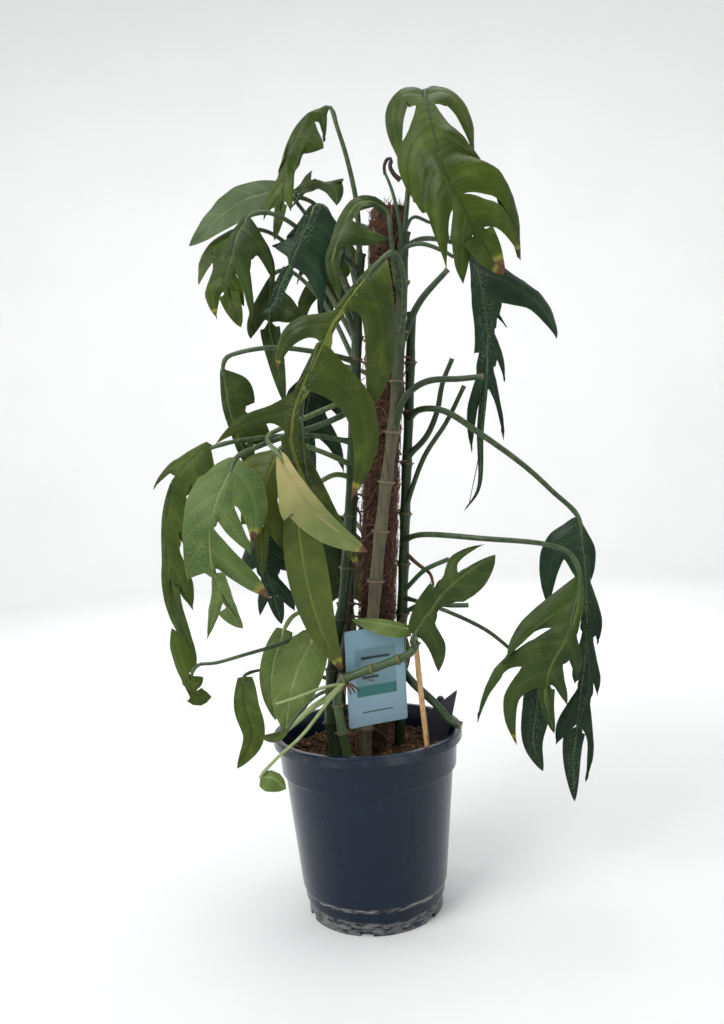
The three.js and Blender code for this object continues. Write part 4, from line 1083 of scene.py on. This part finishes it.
leaf(
    "leaf_right_hanging", DEEP,
    stalk=[(50, 553, 17), (66, 560, 6), (88, 557, -6)],
    midrib=[(109, 549, -4), (115, 515, 14), (118, 480, 20), (114, 444, 20), (108, 400, 18),
        (104, 350, 16), (91, 332, 14)],
    face=(0.15, -1, 0.1), cuts=(0.18, 0.3, 0.42, 0.54, 1),
    right=[(175, 472, -2, 16, 25, 0.72), (134, 483, 8, 4, 40, 0.5), (130, 438, 14, 6, 40, 0.4),
        (127, 390, 12, 5, 50, 0.35), (3.2, 0)],
    left=[(8, 0.1), (11, 0.1), (11, 0.1), (100, 380, 12, 8, 60, 0.4), (3.2, 0)],
)
leaf(
    "leaf_top_left", OLIVE,
    stalk=[(14, 546, 4), (14, 590, 8), (8, 628, 10), (1, 655, 12)],
    midrib=[(-4, 671, 12), (-20, 667, 18), (-33, 650, 24), (-41, 628, 28), (-48, 598, 28),
        (-56, 565, 26)],
    face=(-0.4, -1, 0.5), face_end=(-0.2, -1, 0.1), cuts=(0.14, 0.5, 0.76, 1), fused=0.35,
    right=[(-10, 643, 16, 6, 10, 0.3), (-11, 638, 26, 20, 0, 0.4), (-41, 588, 32, 8, 60, 0.3), (5, 0.2)],
    left=[(3, 0.2), (7, 0.4), (-64, 582, 26, 9, 40, 0.4), (5, 0.2)],
)
leaf(
    "leaf_top_left_side", MOSS,
    stalk=[(11.5, 516, -13), (0, 566, -20), (-22, 594, -12)],
    midrib=[(-38, 602, 0), (-25, 613, 6), (-12, 610, 10), (4, 613, 12)],
    face=(0, -0.9, 0.9), cuts=(0.5, 1),
    right=[(-22, 621, 2, 10, 20, 0.3), (5, 0.3)],
    left=[(-42, 590, 12, 9, 0, 0.3), (-3, 591, 16, 12, 40, 0.4)],
)
leaf(
    "leaf_left_upper", GREY_WITH_PAINTED_SHEEN,
    stalk=[(10, 498, -13), (-12, 556, -30), (-32, 590, -28)],
    midrib=[(-46, 606, -18), (-76, 601, -10), (-102, 586, -6), (-127, 564, -6)],
    face=(-0.3, -1, 0.4), cuts=(1,),
    right=[(15, 0.3)],
    left=[(15, -0.1)],
)
leaf(
    "leaf_left_lobed", OLIVE,
    stalk=[(8.5, 476, -13), (-26, 540, -34), (-60, 572, -24)],
    midrib=[(-82, 574, -8), (-95, 560, 2), (-98, 534, 6), (-88, 495, 6)],
    face=(-0.3, -1, 0.3), cuts=(0.35, 0.66, 1), fused=0.4,
    right=[(-78, 540, 0, 14, 20, 0.3), (-84, 512, 4, 10, 40, 0.3), (9, 0.1)],
    left=[(-121, 532, 0, 19, -12, 0.66), (-108, 503, 2, 14, 5, 0.56), (9, 0.1)],
    dry={(LEFT, 1): 8},
)
leaf(
    "leaf_left_mid", MOSS,
    stalk=[(8, 482, 4), (-12, 536, 18), (-36, 574, 28), (-60, 588, 36)],
    midrib=[(-76, 586, 38), (-86, 572, 42), (-92, 553, 43), (-102, 530, 40)],
    face=(-0.2, -1, 0.3), cuts=(0.4, 0.72, 1), fused=0.35,
    right=[(-58, 530, 30, 10, 5, 0.5), (-78, 488, 32, 7, 40, 0.4), (5, 0.1)],
    left=[(6, 0.1), (7, 0.1), (6, 0.1)],
)
leaf(
    "leaf_left_dark", DEEP,
    stalk=[(13, 536, 4), (-3, 556, 22), (-7, 576, 30), (-12, 589, 34)],
    midrib=[(-20, 592, 38), (-32, 569, 43), (-42, 548, 45), (-52, 530, 45), (-60, 513, 42),
        (-70, 505, 38)],
    face=(0.1, -1, 0.25), cuts=(0.3, 0.55, 0.8, 1), fused=(0.8, 0.12, 0.5),
    right=[(-6, 534, 36, 18, -12, 0.5), (-20, 503, 42, 15, 2, 0.58), (5, 0.2), (4, 0.2)],
    left=[(8, 0.1), (-59, 561, 38, 10, -25, 0.4), (5, 0.2), (4, 0.2)],
)
leaf(
    "leaf_top_centre", MOSS,
    stalk=[(47.5, 510, 19), (43, 528, 34), (41, 560, 36)],
    midrib=[(39, 583, 36), (28, 593, 42), (14, 592, 47), (5, 580, 51), (-3, 563, 54), (-9, 546, 54),
        (-4, 515, 50)],
    face=(-0.2, -0.9, 0.5), cuts=(0.4, 0.62, 1),
    thick=(2.2, 1.6),
    right=[(7, 0.1), (40, 561, 48, 13, 8, 0.35), (7, 0.2)],
    left=[(6, -0.2), (7, 0.2), (6, 0.2)],
)
leaf(
    "leaf_centre_front", GOLD,
    stalk=[(43.5, 470, 22), (49, 505, 34), (49, 536, 48), (43, 550, 58)],
    midrib=[(35, 547, 66), (16, 528, 80), (-1, 508, 88), (-11, 494, 92), (-20, 478, 94), (-33, 455, 96),
        (-41, 440, 95), (-47, 425, 92), (-51, 405, 84), (-46, 378, 74), (-30, 340, 62), (-8, 305, 52),
        (-1, 288, 46)],
    face=(0.1, -1, 0.35), face_end=(0.2, -1, 0.1), cuts=(0.21, 0.31, 0.44, 0.57, 1), fused=0.1,
    thick=(2.8, 2),
    right=[(13, 419, 84, 19, 21, 0.46), (3, 0.2), (-4, 346, 88, 18, -2, 0.64), (4, 0.2), (15, 0.1)],
    left=[(6, 0.2), (-60, 458, 82, 13, 16, 0.71), (5, 0.2), (-115, 399, 80, 10, 18, 0.55), (8, 0.1)],
    dry={(RIGHT, 2): 12, (LEFT, 1): 7, (RIGHT, 4): 9, (LEFT, 4): 9},
)
leaf(
    "leaf_centre_pale", STRAW,
    stalk=[(4, 432, 4), (-20, 424, 26), (-52, 412, 40), (-70, 404, 60), (-69, 396, 78)],
    midrib=[(-62, 388, 90), (-55, 370, 96), (-42, 348, 99), (-24, 327, 97), (8, 302, 90)],
    face=(-0.3, -1, 0.1), cuts=(0.42, 1), fused=0.8,
    right=[(9, 0.1), (8, 0.1)],
    left=[(-61, 332, 94, 13, 52, 0.4), (17, 0)],
    dry={(RIGHT, 1): 8, (LEFT, 1): 8},
)
leaf(
    "leaf_left_strip", MOSS,
    stalk=[(6, 462, 4), (-20, 470, 22), (-62, 477, 30), (-92, 474, 28), (-102, 470, 24)],
    midrib=[(-105, 462, 22), (-102, 430, 24), (-94, 400, 22), (-86, 374, 16)],
    face=(-0.1, -1, 0.15), cuts=(0.35, 0.7, 1), fused=0.5,
    right=[(-80, 432, 20, 20, 30, 0.4), (-68, 400, 18, 22, 30, 0.4), (10, 0.1)],
    left=[(5, 0.1), (5, 0.1), (5, 0.1)],
)
leaf(
    "leaf_left_back", MOSS,
    stalk=[(7, 458, -13), (-18, 512, -40), (-46, 540, -44)],
    midrib=[(-60, 536, -34), (-64, 500, -26), (-60, 466, -24), (-55, 430, -24)],
    face=(-0.2, -1, 0.2), cuts=(0.4, 1), fused=0.35,
    right=[(-38, 498, -26, 18, 30, 0.4), (9, 0.1)],
    left=[(-80, 485, -28, 13, 30, 0.4), (9, 0.1)],
)
leaf(
    "leaf_lower_left_front", SAGE,
    stalk=[(3, 422, 4), (-22, 412, 42), (-58, 402, 56), (-80, 395, 62)],
    midrib=[(-98, 387, 66), (-106, 372, 75), (-114, 358, 80), (-120, 342, 84), (-124, 325, 86),
        (-125, 306, 86), (-123, 292, 86), (-119, 277, 84), (-113, 262, 80), (-101, 242, 76)],
    face=(-0.15, -1, 0.3), face_end=(-0.2, -1, 0), cuts=(0.15, 0.4, 0.65, 0.85, 1),
    fused=(0.4, 0.12, 0.12, 0.12), thick=(2.6, 2),
    right=[(-88, 317, 80, 17, 20, 0.55), (-90, 304, 82, 10, 47, 0.35), (-76, 266, 78, 14, 40, 0.42),
        (8, 0.1), (5, 0.1)],
    left=[(24, 0.3), (24, 0.15), (21, 0.1), (-132, 234, 72, 7, 55, 0.4), (9, 0.1)],
    dry={(RIGHT, 0): 8, (RIGHT, 2): 14},
    slits=[(RIGHT, 0, 0.4, 0.95, 3)],
)
leaf(
    "leaf_far_left", OLIVE,
    stalk=[(0, 395, 5), (-34, 402, 22), (-86, 402, 36)],
    midrib=[(-116, 397, 38), (-140, 385, 34), (-157, 352, 28), (-162, 310, 26), (-160, 268, 26),
        (-142, 216, 24)],
    face=(-0.4, -0.9, 0.4), face_end=(-0.5, -1, 0), cuts=(0.24, 0.44, 0.66, 1), fused=0.4,
    right=[(-130, 346, 36, 24, 10, 0.4), (-138, 308, 32, 20, 20, 0.4), (-143, 260, 30, 16, 40, 0.35),
        (10, 0.1)],
    left=[(-170, 364, 24, 7, 40, 0.4), (5, 0.1), (5, 0.1), (8, 0.1)],
)
leaf(
    "leaf_far_left_low", OLIVE,
    stalk=[(-18, 247, 8), (-40, 240, 14), (-68, 228, 36), (-100, 220, 48), (-126, 214, 50),
        (-141, 213, 50)],
    midrib=[(-147, 205, 46), (-149, 194, 46), (-143, 187, 44), (-131, 185, 42)],
    face=(-0.3, -1, 0.2), cuts=(0.5, 1), fused=0.4,
    thick=(1.8, 1.3),
    right=[(-137, 202, 44, 9, 10, 0.3), (8, 0.1)],
    left=[(-161, 246, 42, 15, -60, 0.3), (8, 0.2)],
)
leaf(
    "leaf_left_light", HANGING,
    stalk=[(-2, 376, 5), (-26, 388, 28), (-48, 396, 36)],
    midrib=[(-62, 392, 40), (-74, 366, 46), (-80, 332, 46), (-82, 284, 42)],
    face=(0, -1, 0.3), cuts=(0.3, 0.6, 1), fused=0.35,
    right=[(-48, 366, 42, 18, 10, 0.4), (-64, 308, 46, 15, 40, 0.4), (6, 0.1)],
    left=[(-98, 372, 42, 18, 0, 0.4), (-98, 330, 44, 16, 30, 0.4), (6, 0.1)],
)
leaf(
    "leaf_front_hanging", HANGING,
    stalk=[(-3, 366, 5), (-18, 368, 30), (-36, 358, 46)],
    midrib=[(-50, 346, 54), (-48, 308, 60), (-43, 270, 62), (-34, 235, 60), (-19, 202, 52)],
    face=(0, -1, 0.2), cuts=(1,),
    right=[(18, 0.1)],
    left=[(14, 0.1)],
    dry={(RIGHT, 0): 10, (LEFT, 0): 10},
)
leaf(
    "leaf_lower_heart", LIGHT,
    stalk=[(-23, 228, 9), (-28, 240, 26)],
    midrib=[(-40, 234, 34), (-54, 210, 42), (-64, 184, 44), (-70, 150, 42)],
    face=(0, -1, 0.35), cuts=(1,),
    right=[(20, 0.1)],
    left=[(19, 0.1)],
)
leaf(
    "leaf_lower_heart_back", LIGHT,
    stalk=[(-13, 240, -12), (-36, 252, -2), (-56, 252, 14)],
    midrib=[(-66, 240, 22), (-76, 214, 28), (-80, 188, 28), (-78, 162, 26)],
    face=(-0.3, -1, 0.3), cuts=(1,),
    right=[(13, 0.1)],
    left=[(12, 0.1)],
)
leaf(
    "leaf_low_back", DEEP,
    stalk=[(-4, 326, -13), (-36, 342, -4), (-66, 336, 14)],
    midrib=[(-78, 326, 20), (-80, 300, 28), (-74, 272, 30), (-68, 244, 28)],
    face=(0, -1, 0.3), cuts=(0.4, 0.7, 1), fused=0.4,
    right=[(-52, 288, 24, 16, 20, 0.4), (-56, 254, 28, 10, 40, 0.4), (7, 0.1)],
    left=[(-97, 290, 20, 16, 20, 0.4), (-86, 252, 26, 9, 40, 0.4), (6, 0.1)],
)
leaf(
    "leaf_lower_left_small", OLIVE,
    stalk=[(-29, 195, 12), (-60, 204, -4), (-88, 206, 12)],
    midrib=[(-103, 201, 26), (-104, 176, 34), (-99, 150, 38), (-113, 122, 38)],
    face=(-0.2, -1, 0.3), cuts=(1,),
    thick=(1.6, 1.2),
    right=[(13, 0.1)],
    left=[(9, 0.1)],
)
leaf(
    "leaf_rim_left", OLIVE,
    stalk=[(-22, 189, 46), (-44, 180, 60), (-64, 160, 66)],
    midrib=[(-68, 154, 66), (-78, 150, 62), (-92, 149, 56)],
    face=(0, -0.6, 1), cuts=(1,),
    thick=(1.6, 1.2),
    right=[(6, 0.3)],
    left=[(6, 0.3)],
)
leaf(
    "leaf_rim_small", LIGHT,
    stalk=[(-17, 192, 46), (-32, 176, 66), (-56, 148, 84), (-80, 128, 88)],
    midrib=[(-94, 113, 88), (-84, 113, 92), (-72, 102, 90)],
    face=(0.1, -1, 0.6), cuts=(1,),
    thick=(1.5, 1.1),
    right=[(8, 0.4)],
    left=[(8, 0.4)],
)
leaf(
    "leaf_right_far", DEEP,
    stalk=[(48, 412, -9), (58, 419, 10), (78, 417, 27), (108, 396, 28), (144, 367, 16), (166, 345, 9)],
    midrib=[(187, 322, 6), (192, 270, 14), (190, 220, 18), (191, 178, 18), (176, 130, 14), (174, 78, 10)],
    face=(-0.3, -1, 0.1), cuts=(0.15, 0.4, 0.58, 0.74, 1),
    thick=(2.8, 2),
    right=[(196, 268, 6, 7, 40, 0.3), (199, 212, 10, 8, 50, 0.4), (197, 168, 14, 7, 50, 0.3),
        (184, 94, 12, 6, 50, 0.4), (7, 0.1)],
    left=[(159, 246, 4, 16, -20, 0.5), (178, 232, 14, 7, 40, 0.3), (178, 180, 22, 10, 20, 0.4),
        (160, 128, 16, 13, 40, 0.4), (10, 0.1)],
)
leaf(
    "leaf_right_front", MOSS,
    stalk=[(39.5, 311, -7), (56, 314, 20), (106, 308, 48), (160, 300, 56), (178, 292, 56)],
    midrib=[(186, 276, 56), (184, 248, 62), (172, 218, 66), (158, 194, 66), (154, 166, 62),
        (159, 138, 56)],
    face=(-0.2, -1, 0.2), cuts=(0.3, 0.52, 0.7, 1),
    thick=(2.5, 1.9),
    right=[(5, 0.1), (180, 184, 54, 9, 20, 0.4), (171, 162, 58, 8, 30, 0.4), (6, 0.1)],
    left=[(122, 206, 64, 17, 36, 0.56), (94, 150, 60, 13, 26, 0.67), (127, 129, 62, 11, 26, 0.7),
        (6, 0.1)],
    dry={(LEFT, 2): 8},
    slits=[(LEFT, 0, 0.22, 0.74, 6)],
)
leaf(
    "leaf_right_low", DEEP,
    stalk=[(35.5, 262, -6), (68, 250, 24), (105, 230, 34), (133, 206, 42)],
    midrib=[(148, 198, 40), (146, 166, 40), (141, 132, 40), (148, 106, 38)],
    face=(0, -1, 0.2), cuts=(1,),
    thick=(1.9, 1.4),
    right=[(11, 0.1)],
    left=[(12, 0.1)],
)
leaf(
    "leaf_right_mid", MOSS,
    stalk=[(44, 219, 45), (42, 224, 52)],
    midrib=[(44, 229, 56), (56, 246, 60), (73, 266, 64), (94, 282, 66), (116, 294, 66)],
    face=(0.2, -1, 0.4), cuts=(0.22, 0.45, 0.66, 1),
    thick=(2.4, 1.7),
    right=[(12, 0), (13, 0), (107, 303, 58, 8, 15, 0.6), (3, -0.1)],
    left=[(63, 196, 54, 12, -5, 0.5), (5, 0.1), (15, 0.1), (17, 0.1)],
)
leaf(
    "leaf_pale_small", LIGHT,
    stalk=[(42, 217, 45.5), (46, 229, 42)],
    midrib=[(42, 234, 40), (26, 238, 42), (8, 242, 40), (-9, 245, 36)],
    face=(0, -1, 0.4), cuts=(1,),
    thick=(1.6, 1.2),
    right=[(8, 0.2)],
    left=[(5, 0.2)],
)
leaf(
    "leaf_back_top", OLIVE,
    stalk=[(38, 516, -22), (34, 558, -44), (16, 574, -62)],
    midrib=[(4, 568, -72), (-10, 546, -92), (-16, 516, -100), (-16, 478, -98)],
    face=(-0.1, 1, 0.4), cuts=(0.3, 0.6, 1), fused=0.4,
    right=[(-40, 528, -74, 15, 0, 0.5), (-38, 486, -84, 13, 20, 0.45), (8, 0.2)],
    left=[(16, 530, -88, 15, 0, 0.5), (8, 482, -96, 13, 20, 0.45), (8, 0.2)],
)
leaf(
    "leaf_back_left", DEEP,
    stalk=[(31, 430, -22), (14, 452, -52), (-14, 460, -72)],
    midrib=[(-28, 456, -82), (-36, 434, -100), (-38, 404, -108), (-34, 364, -104)],
    face=(-0.4, 1, 0.3), cuts=(0.3, 0.6, 1), fused=0.4,
    right=[(-60, 418, -72, 14, 0, 0.5), (-58, 374, -84, 12, 20, 0.45), (8, 0.2)],
    left=[(-8, 414, -104, 15, 0, 0.5), (-8, 368, -108, 12, 20, 0.45), (8, 0.2)],
)
leaf(
    "leaf_back_low", MOSS,
    stalk=[(18, 280, -22), (8, 312, -50), (-4, 330, -76)],
    midrib=[(-10, 326, -88), (-14, 298, -104), (-14, 264, -112), (-6, 218, -108)],
    face=(-0.1, 1, 0.4), cuts=(0.3, 0.6, 1), fused=0.4,
    right=[(-42, 290, -84, 15, 0, 0.5), (-36, 238, -94, 13, 20, 0.45), (8, 0.2)],
    left=[(18, 282, -96, 14, 0, 0.5), (18, 232, -102, 12, 20, 0.45), (8, 0.2)],
)
leaf(
    "leaf_back_low_right", LIGHT,
    stalk=[(11, 190, -23), (18, 216, -44), (26, 236, -58)],
    midrib=[(30, 236, -66), (30, 218, -74), (24, 196, -78), (18, 168, -78)],
    face=(0.4, 1, 0.3), cuts=(1,),
    right=[(12, 0.2)],
    left=[(12, 0.2)],
)

# Left on the plant
# What grew without a blade of its own: a dark hooked dry shoot at the top, thin green stalks beside it and
# lower down, two pale young shoots from the runner's joint, and short roots there.


def twig(name, finish, slot, points, start, end, tail=0.0):
    """A thin stalk or root from radius start to radius end, with a knob of tail on its end."""
    bm = bmesh.new()
    bm.loops.layers.uv.new("face")
    bm.verts.layers.float.new("scar")
    line = Line([seen(*p) for p in points])
    count = max(12, round(line.length / MM / 2.5))

    def radius_at(u):
        return start + (end - start) * u + tail * math.exp(-(((u - 1) / 0.1) ** 2))

    tube(bm, line, [k / count for k in range(count + 1)], radius_at, 8, 0.06)
    weld(bm)
    bmesh.ops.recalc_face_normals(bm, faces=bm.faces)
    piece(name, bm, [finish], slot, sharp=60)


dry_skin = bark_finish("dry_shoot", paint(52, 34, 30), paint(32, 20, 18), paint(90, 64, 50), 0.6)
pale_bark = bark_finish("pale_shoot", paint(142, 156, 108), paint(126, 142, 92), paint(150, 128, 84), 0.42)
thin_green = bark_finish("thin_stalk", paint(52, 78, 52), paint(66, 92, 60), paint(90, 104, 70), 0.45)
twig(
    "hooked_shoot_stalk", thin_green, "stem_green",
    [(50, 552, 21), (49, 570, 24), (44, 600, 26), (38.5, 616, 26)], 1.9, 1.1,
)
twig(
    "hooked_shoot", dry_skin, "stem_bark",
    [(38.5, 614, 26), (38.6, 622, 26), (42.5, 627.5, 26), (44.5, 625.5, 26), (43, 621, 26), (46, 614, 26),
        (51, 609, 26)], 1.2, 2.0, 0.4,
)
twig("thin_stalk_upper", thin_green, "stem_green", [(50, 560, 18), (60, 578, 14), (74, 573, 6)], 1.6, 1.3)
twig(
    "thin_stalk_lower", thin_green, "stem_green",
    [(47, 540, 18), (52, 553, 26), (66, 556, 30), (84, 549, 34), (92, 544, 38)], 2.0, 1.5,
)
twig(
    "side_root", root_finish, "stem_bark",
    [(41, 298, -6), (50, 289, 4), (60, 280, 12), (62, 270, 14)], 1.9, 1.2,
)
twig(
    "side_stub", thin_green, "stem_green",
    [(34, 248, -6), (56, 256, 6), (74, 253, 12), (91, 252, 16)], 2.2, 2.0,
)
twig(
    "side_stalk", thin_green, "stem_green",
    [(36, 266, -6), (54, 283, 12), (62, 287, 20), (76, 292, 28)], 2.2, 1.9,
)
twig(
    "pale_shoot", pale_bark, "stem_green",
    [(-20, 189, 48), (-31, 180, 52), (-45, 172, 54), (-60, 160, 55), (-73, 150, 55)], 3.0, 2.0,
)
twig(
    "pale_stalk", pale_bark, "stem_green",
    [(-21, 190, 48), (-36, 188, 53), (-58, 181, 56), (-77, 176, 55)], 1.5, 1.1,
)
for i, (dx, dz, out) in enumerate(((-1, -10, 4), (3, -9, 5), (6, -8, 4), (9, -7, 3))):
    twig(
        f"runner_root_{i}", root_finish, "stem_green",
        [(-18 + dx * 0.6, 190, 48), (-17 + dx, 190 + dz * 0.5, 48 + out),
            (-16 + dx * 1.2, 190 + dz, 48 + out)], 0.9, 0.6,
    )

# The tag
# A coated card with a plain printed design, its corners rounded and its face a little bowed. It stands in
# front of the stems and leans on the front one.

TAG_WIDTH = 52
TAG_HEIGHT = 80
TAG_CORNER = 2
TAG_THICKNESS = 0.45
tag = bmesh.new()
tag.loops.layers.uv.new("print")
stand = Matrix.Translation(Vector((9.5, -27.9, 163)) * MM) @ Matrix.Rotation(math.radians(22), 4, "Z")
stand = stand @ Matrix.Rotation(math.radians(3), 4, "X") @ Matrix.Rotation(math.radians(-1), 4, "Y")


def tag_place(c, t):
    bow = 0.9 * (2 * c - 1) ** 2 - 0.6 * t * t
    x = (c - 0.5) * TAG_WIDTH
    z = t * TAG_HEIGHT
    tuck_x = max(0, abs(x) - (TAG_WIDTH / 2 - TAG_CORNER))
    tuck_z = max(0, TAG_CORNER - z, z - (TAG_HEIGHT - TAG_CORNER))
    if tuck_x and tuck_z:
        over = max(0, math.hypot(tuck_x, tuck_z) - TAG_CORNER)
        x -= math.copysign(over * 0.7, x)
        z += over * 0.7 * (1 if z < TAG_CORNER else -1)
    return stand @ (Vector((x, -bow, z)) * MM)


patch(tag, 52, 80, tag_place)
tag = settled(tag, "SOLIDIFY", thickness=TAG_THICKNESS * MM, offset=-1.0)
tag_finish = Finish("tag_card", Roughness=0.42, Specular_IOR_Level=0.4, Coat_Weight=0.15)
across = tag_finish.node("UVMap", {"uv_map": "print"})
u = tag_finish.node("SeparateXYZ", inputs={0: across}, output=0)
v = tag_finish.node("SeparateXYZ", inputs={0: across}, output=1)


def bar(middle_u, middle_v, half_u, half_v):
    """A printed rectangle with soft edges, from 0 outside to 1 inside."""
    inside_u = 1 - tag_finish.rise(abs(u - middle_u), half_u - 0.008, half_u + 0.008)
    inside_v = 1 - tag_finish.rise(abs(v - middle_v), half_v - 0.006, half_v + 0.006)
    return inside_u * inside_v


colour = tag_finish.mix(tag_finish.rise(v, 0, 1), paint(152, 184, 200), paint(130, 166, 184))
colour = tag_finish.mix(bar(0.5, 0.6, 0.34, 0.2), colour, paint(112, 148, 158))
colour = tag_finish.mix(bar(0.5, 0.36, 0.34, 0.055), colour, paint(44, 118, 114))
for row in range(3):
    dash = bar(0.5 - 0.05 * row, 0.7 - 0.1 * row, 0.24 - 0.05 * row, 0.014)
    colour = tag_finish.mix(dash, colour, paint(30, 42, 52))
colour = tag_finish.mix(bar(0.5, 0.14, 0.26, 0.007), colour, paint(60, 84, 98))
fleck = tag_finish.noise(tag_finish.place(), 700, 2)
colour = tag_finish.mix(tag_finish.rise(fleck, 0.66, 0.8) * 0.3, colour, paint(170, 190, 200))
tag_finish.feed(Base_Color=colour)
tag_finish.bump(fleck, 0.03)
piece("printed_tag", tag, [tag_finish], "tag_card", "card_tag", sharp=40)

# The bamboo stick
# A thin length of pale split cane, with one ring where it had a joint. It stands pushed into the potting
# mix and leans back against the plant.

CANE_RADIUS = 2.2
CANE_JOINT = 0.32


def cane_radius(u):
    return CANE_RADIUS + 0.3 * math.exp(-(((u - CANE_JOINT) / 0.012) ** 2))


cane = bmesh.new()
cane.loops.layers.uv.new("face")
cane_line = Line([seen(44, 238, 26), seen(47, 180, 34), seen(52.5, 100, 42)])
tube(cane, cane_line, [k / 60 for k in range(61)], cane_radius, 16, 0.02)
weld(cane)
bmesh.ops.recalc_face_normals(cane, faces=cane.faces)
cane_finish = Finish("bamboo_cane", Roughness=0.5, Specular_IOR_Level=0.4)
grain = cane_finish.noise(cane_finish.place((1, 1, 0.05)), 1500, 3)
colour = cane_finish.mix(cane_finish.rise(grain, 0.35, 0.7), paint(204, 166, 118), paint(164, 124, 80))
cane_finish.feed(Base_Color=colour)
cane_finish.bump(grain, 0.12)
piece("bamboo_cane", cane, [cane_finish], "bamboo", "bamboo_stick", sharp=60)

# The nursery label
# A label of dark plastic sheet, cut to a slant at its top, with its foot pushed into the potting mix
# beside the right edge of the pot.

LABEL_OUTLINE = [(42, 112), (60, 112), (72.5, 150), (79.5, 178), (52, 160)]
LABEL_THICKNESS = 1
label = bmesh.new()
label_corners = [label.verts.new(Vector((x, 0, z)) * MM) for x, z in LABEL_OUTLINE]
label.faces.new(label_corners)
bmesh.ops.bevel(
    label, geom=label_corners, offset=1.2 * MM, segments=3, profile=0.5, affect="VERTICES", material=-1
)
bmesh.ops.solidify(label, geom=label.faces[:], thickness=LABEL_THICKNESS * MM)
label_turn = Matrix.Rotation(math.radians(6), 3, "Z")
bmesh.ops.rotate(label, verts=label.verts, cent=(0, 0, 0), matrix=label_turn)
bmesh.ops.recalc_face_normals(label, faces=label.faces)
label_finish = Finish("label_plastic", Roughness=0.5)
fleck = label_finish.noise(label_finish.place(), 300, 4, 0.7)
colour = label_finish.mix(label_finish.rise(fleck, 0.5, 0.8) * 0.4, paint(52, 52, 62), paint(92, 90, 98))
label_finish.feed(Base_Color=colour)
label_finish.bump(fleck, 0.05)
piece("plant_label", label, [label_finish], "label_plastic", "nursery_label", sharp=30)

# The studio
# A plain pale floor that curves up into a wall, soft light from above and from the left, and two narrow
# strips of light that draw the pot's edges. The camera stands where the photograph was taken from.

FLOOR_RADIUS = 2.2
SWEEP_RADIUS = 0.8
floor = bmesh.new()
sweep = [(0, 0), (FLOOR_RADIUS, 0)]
for k in range(1, 13):
    turn = math.pi / 2 * k / 12
    sweep.append((FLOOR_RADIUS + SWEEP_RADIUS * math.sin(turn), SWEEP_RADIUS * (1 - math.cos(turn))))
sweep.append((FLOOR_RADIUS + SWEEP_RADIUS, 3.2))
sweep_corners = [floor.verts.new((r, 0, z)) for r, z in sweep]
sweep_edges = [floor.edges.new(pair) for pair in zip(sweep_corners, sweep_corners[1:])]
bmesh.ops.spin(
    floor, geom=sweep_corners + sweep_edges, cent=(0, 0, 0), axis=UP, angle=2 * math.pi, steps=72,
    use_merge=True,
)
weld(floor)
bmesh.ops.recalc_face_normals(floor, faces=floor.faces)
bmesh.ops.reverse_faces(floor, faces=floor.faces)
floor_mesh = bpy.data.meshes.new("floor")
floor.to_mesh(floor_mesh)
floor.free()
floor_mesh.polygons.foreach_set("use_smooth", [True] * len(floor_mesh.polygons))
floor_finish = Finish("floor_paint", Roughness=0.9)
floor_tone = floor_finish.noise(floor_finish.place(), 3, 2)
floor_finish.feed(Base_Color=floor_finish.mix(floor_tone, paint(228, 228, 228), paint(234, 234, 234)))
floor_mesh.materials.append(floor_finish.material)
floor_object = bpy.data.objects.new("floor", floor_mesh)
bpy.context.scene.collection.objects.link(floor_object)

world = bpy.data.worlds.new("studio")
world.use_nodes = True
world.node_tree.nodes["Background"].inputs["Color"].default_value = (0.95, 0.98, 1, 1)
world.node_tree.nodes["Background"].inputs["Strength"].default_value = 0.32
bpy.context.scene.world = world


def softbox(name, place, aim, size, power, length=None):
    """A rectangle of light at place that faces aim, with sides of size and length."""
    light = bpy.data.lights.new(name, "AREA")
    light.shape = "RECTANGLE"
    light.size = size
    light.size_y = length or size
    light.energy = power
    lamp = bpy.data.objects.new(name, light)
    lamp.location = place
    lamp.rotation_euler = (Vector(aim) - Vector(place)).to_track_quat("-Z", "Y").to_euler()
    bpy.context.scene.collection.objects.link(lamp)


softbox("key", (-1.2, -1.3, 1.9), (0, 0, 0.4), 1.2, 40)
softbox("top", (0.2, 0.3, 2.2), (0, 0, 0.3), 1.4, 20)
softbox("side", (1.7, -0.5, 0.9), (0, 0, 0.3), 0.8, 2.5)
softbox("left_strip", (-1.3, 0.3, 0.5), (0, 0, 0.2), 0.16, 4, length=1.6)
softbox("right_strip", (1.3, 0.1, 0.5), (0, 0, 0.2), 0.06, 1.4, length=1.6)
softbox("backdrop", (0, 0.9, 1.6), (0, 3, 0.7), 1.2, 22)

FOCAL_PIXELS = 862
IMAGE_LONG_SIDE = 1024
SENSOR = 36
LOOKS_DOWN = 2.7
ROLLED = 3
camera_data = bpy.data.cameras.new("camera")
camera_data.sensor_width = SENSOR
camera_data.lens = FOCAL_PIXELS / IMAGE_LONG_SIDE * SENSOR
camera = bpy.data.objects.new("camera", camera_data)
tilt = Matrix.Rotation(math.radians(90 - LOOKS_DOWN), 4, "X")
roll = Matrix.Rotation(math.radians(-ROLLED), 4, "Z")
camera.matrix_world = Matrix.Translation(EYE * MM) @ tilt @ roll
bpy.context.scene.collection.objects.link(camera)
bpy.context.scene.camera = camera
bpy.context.scene.view_settings.view_transform = "Standard"
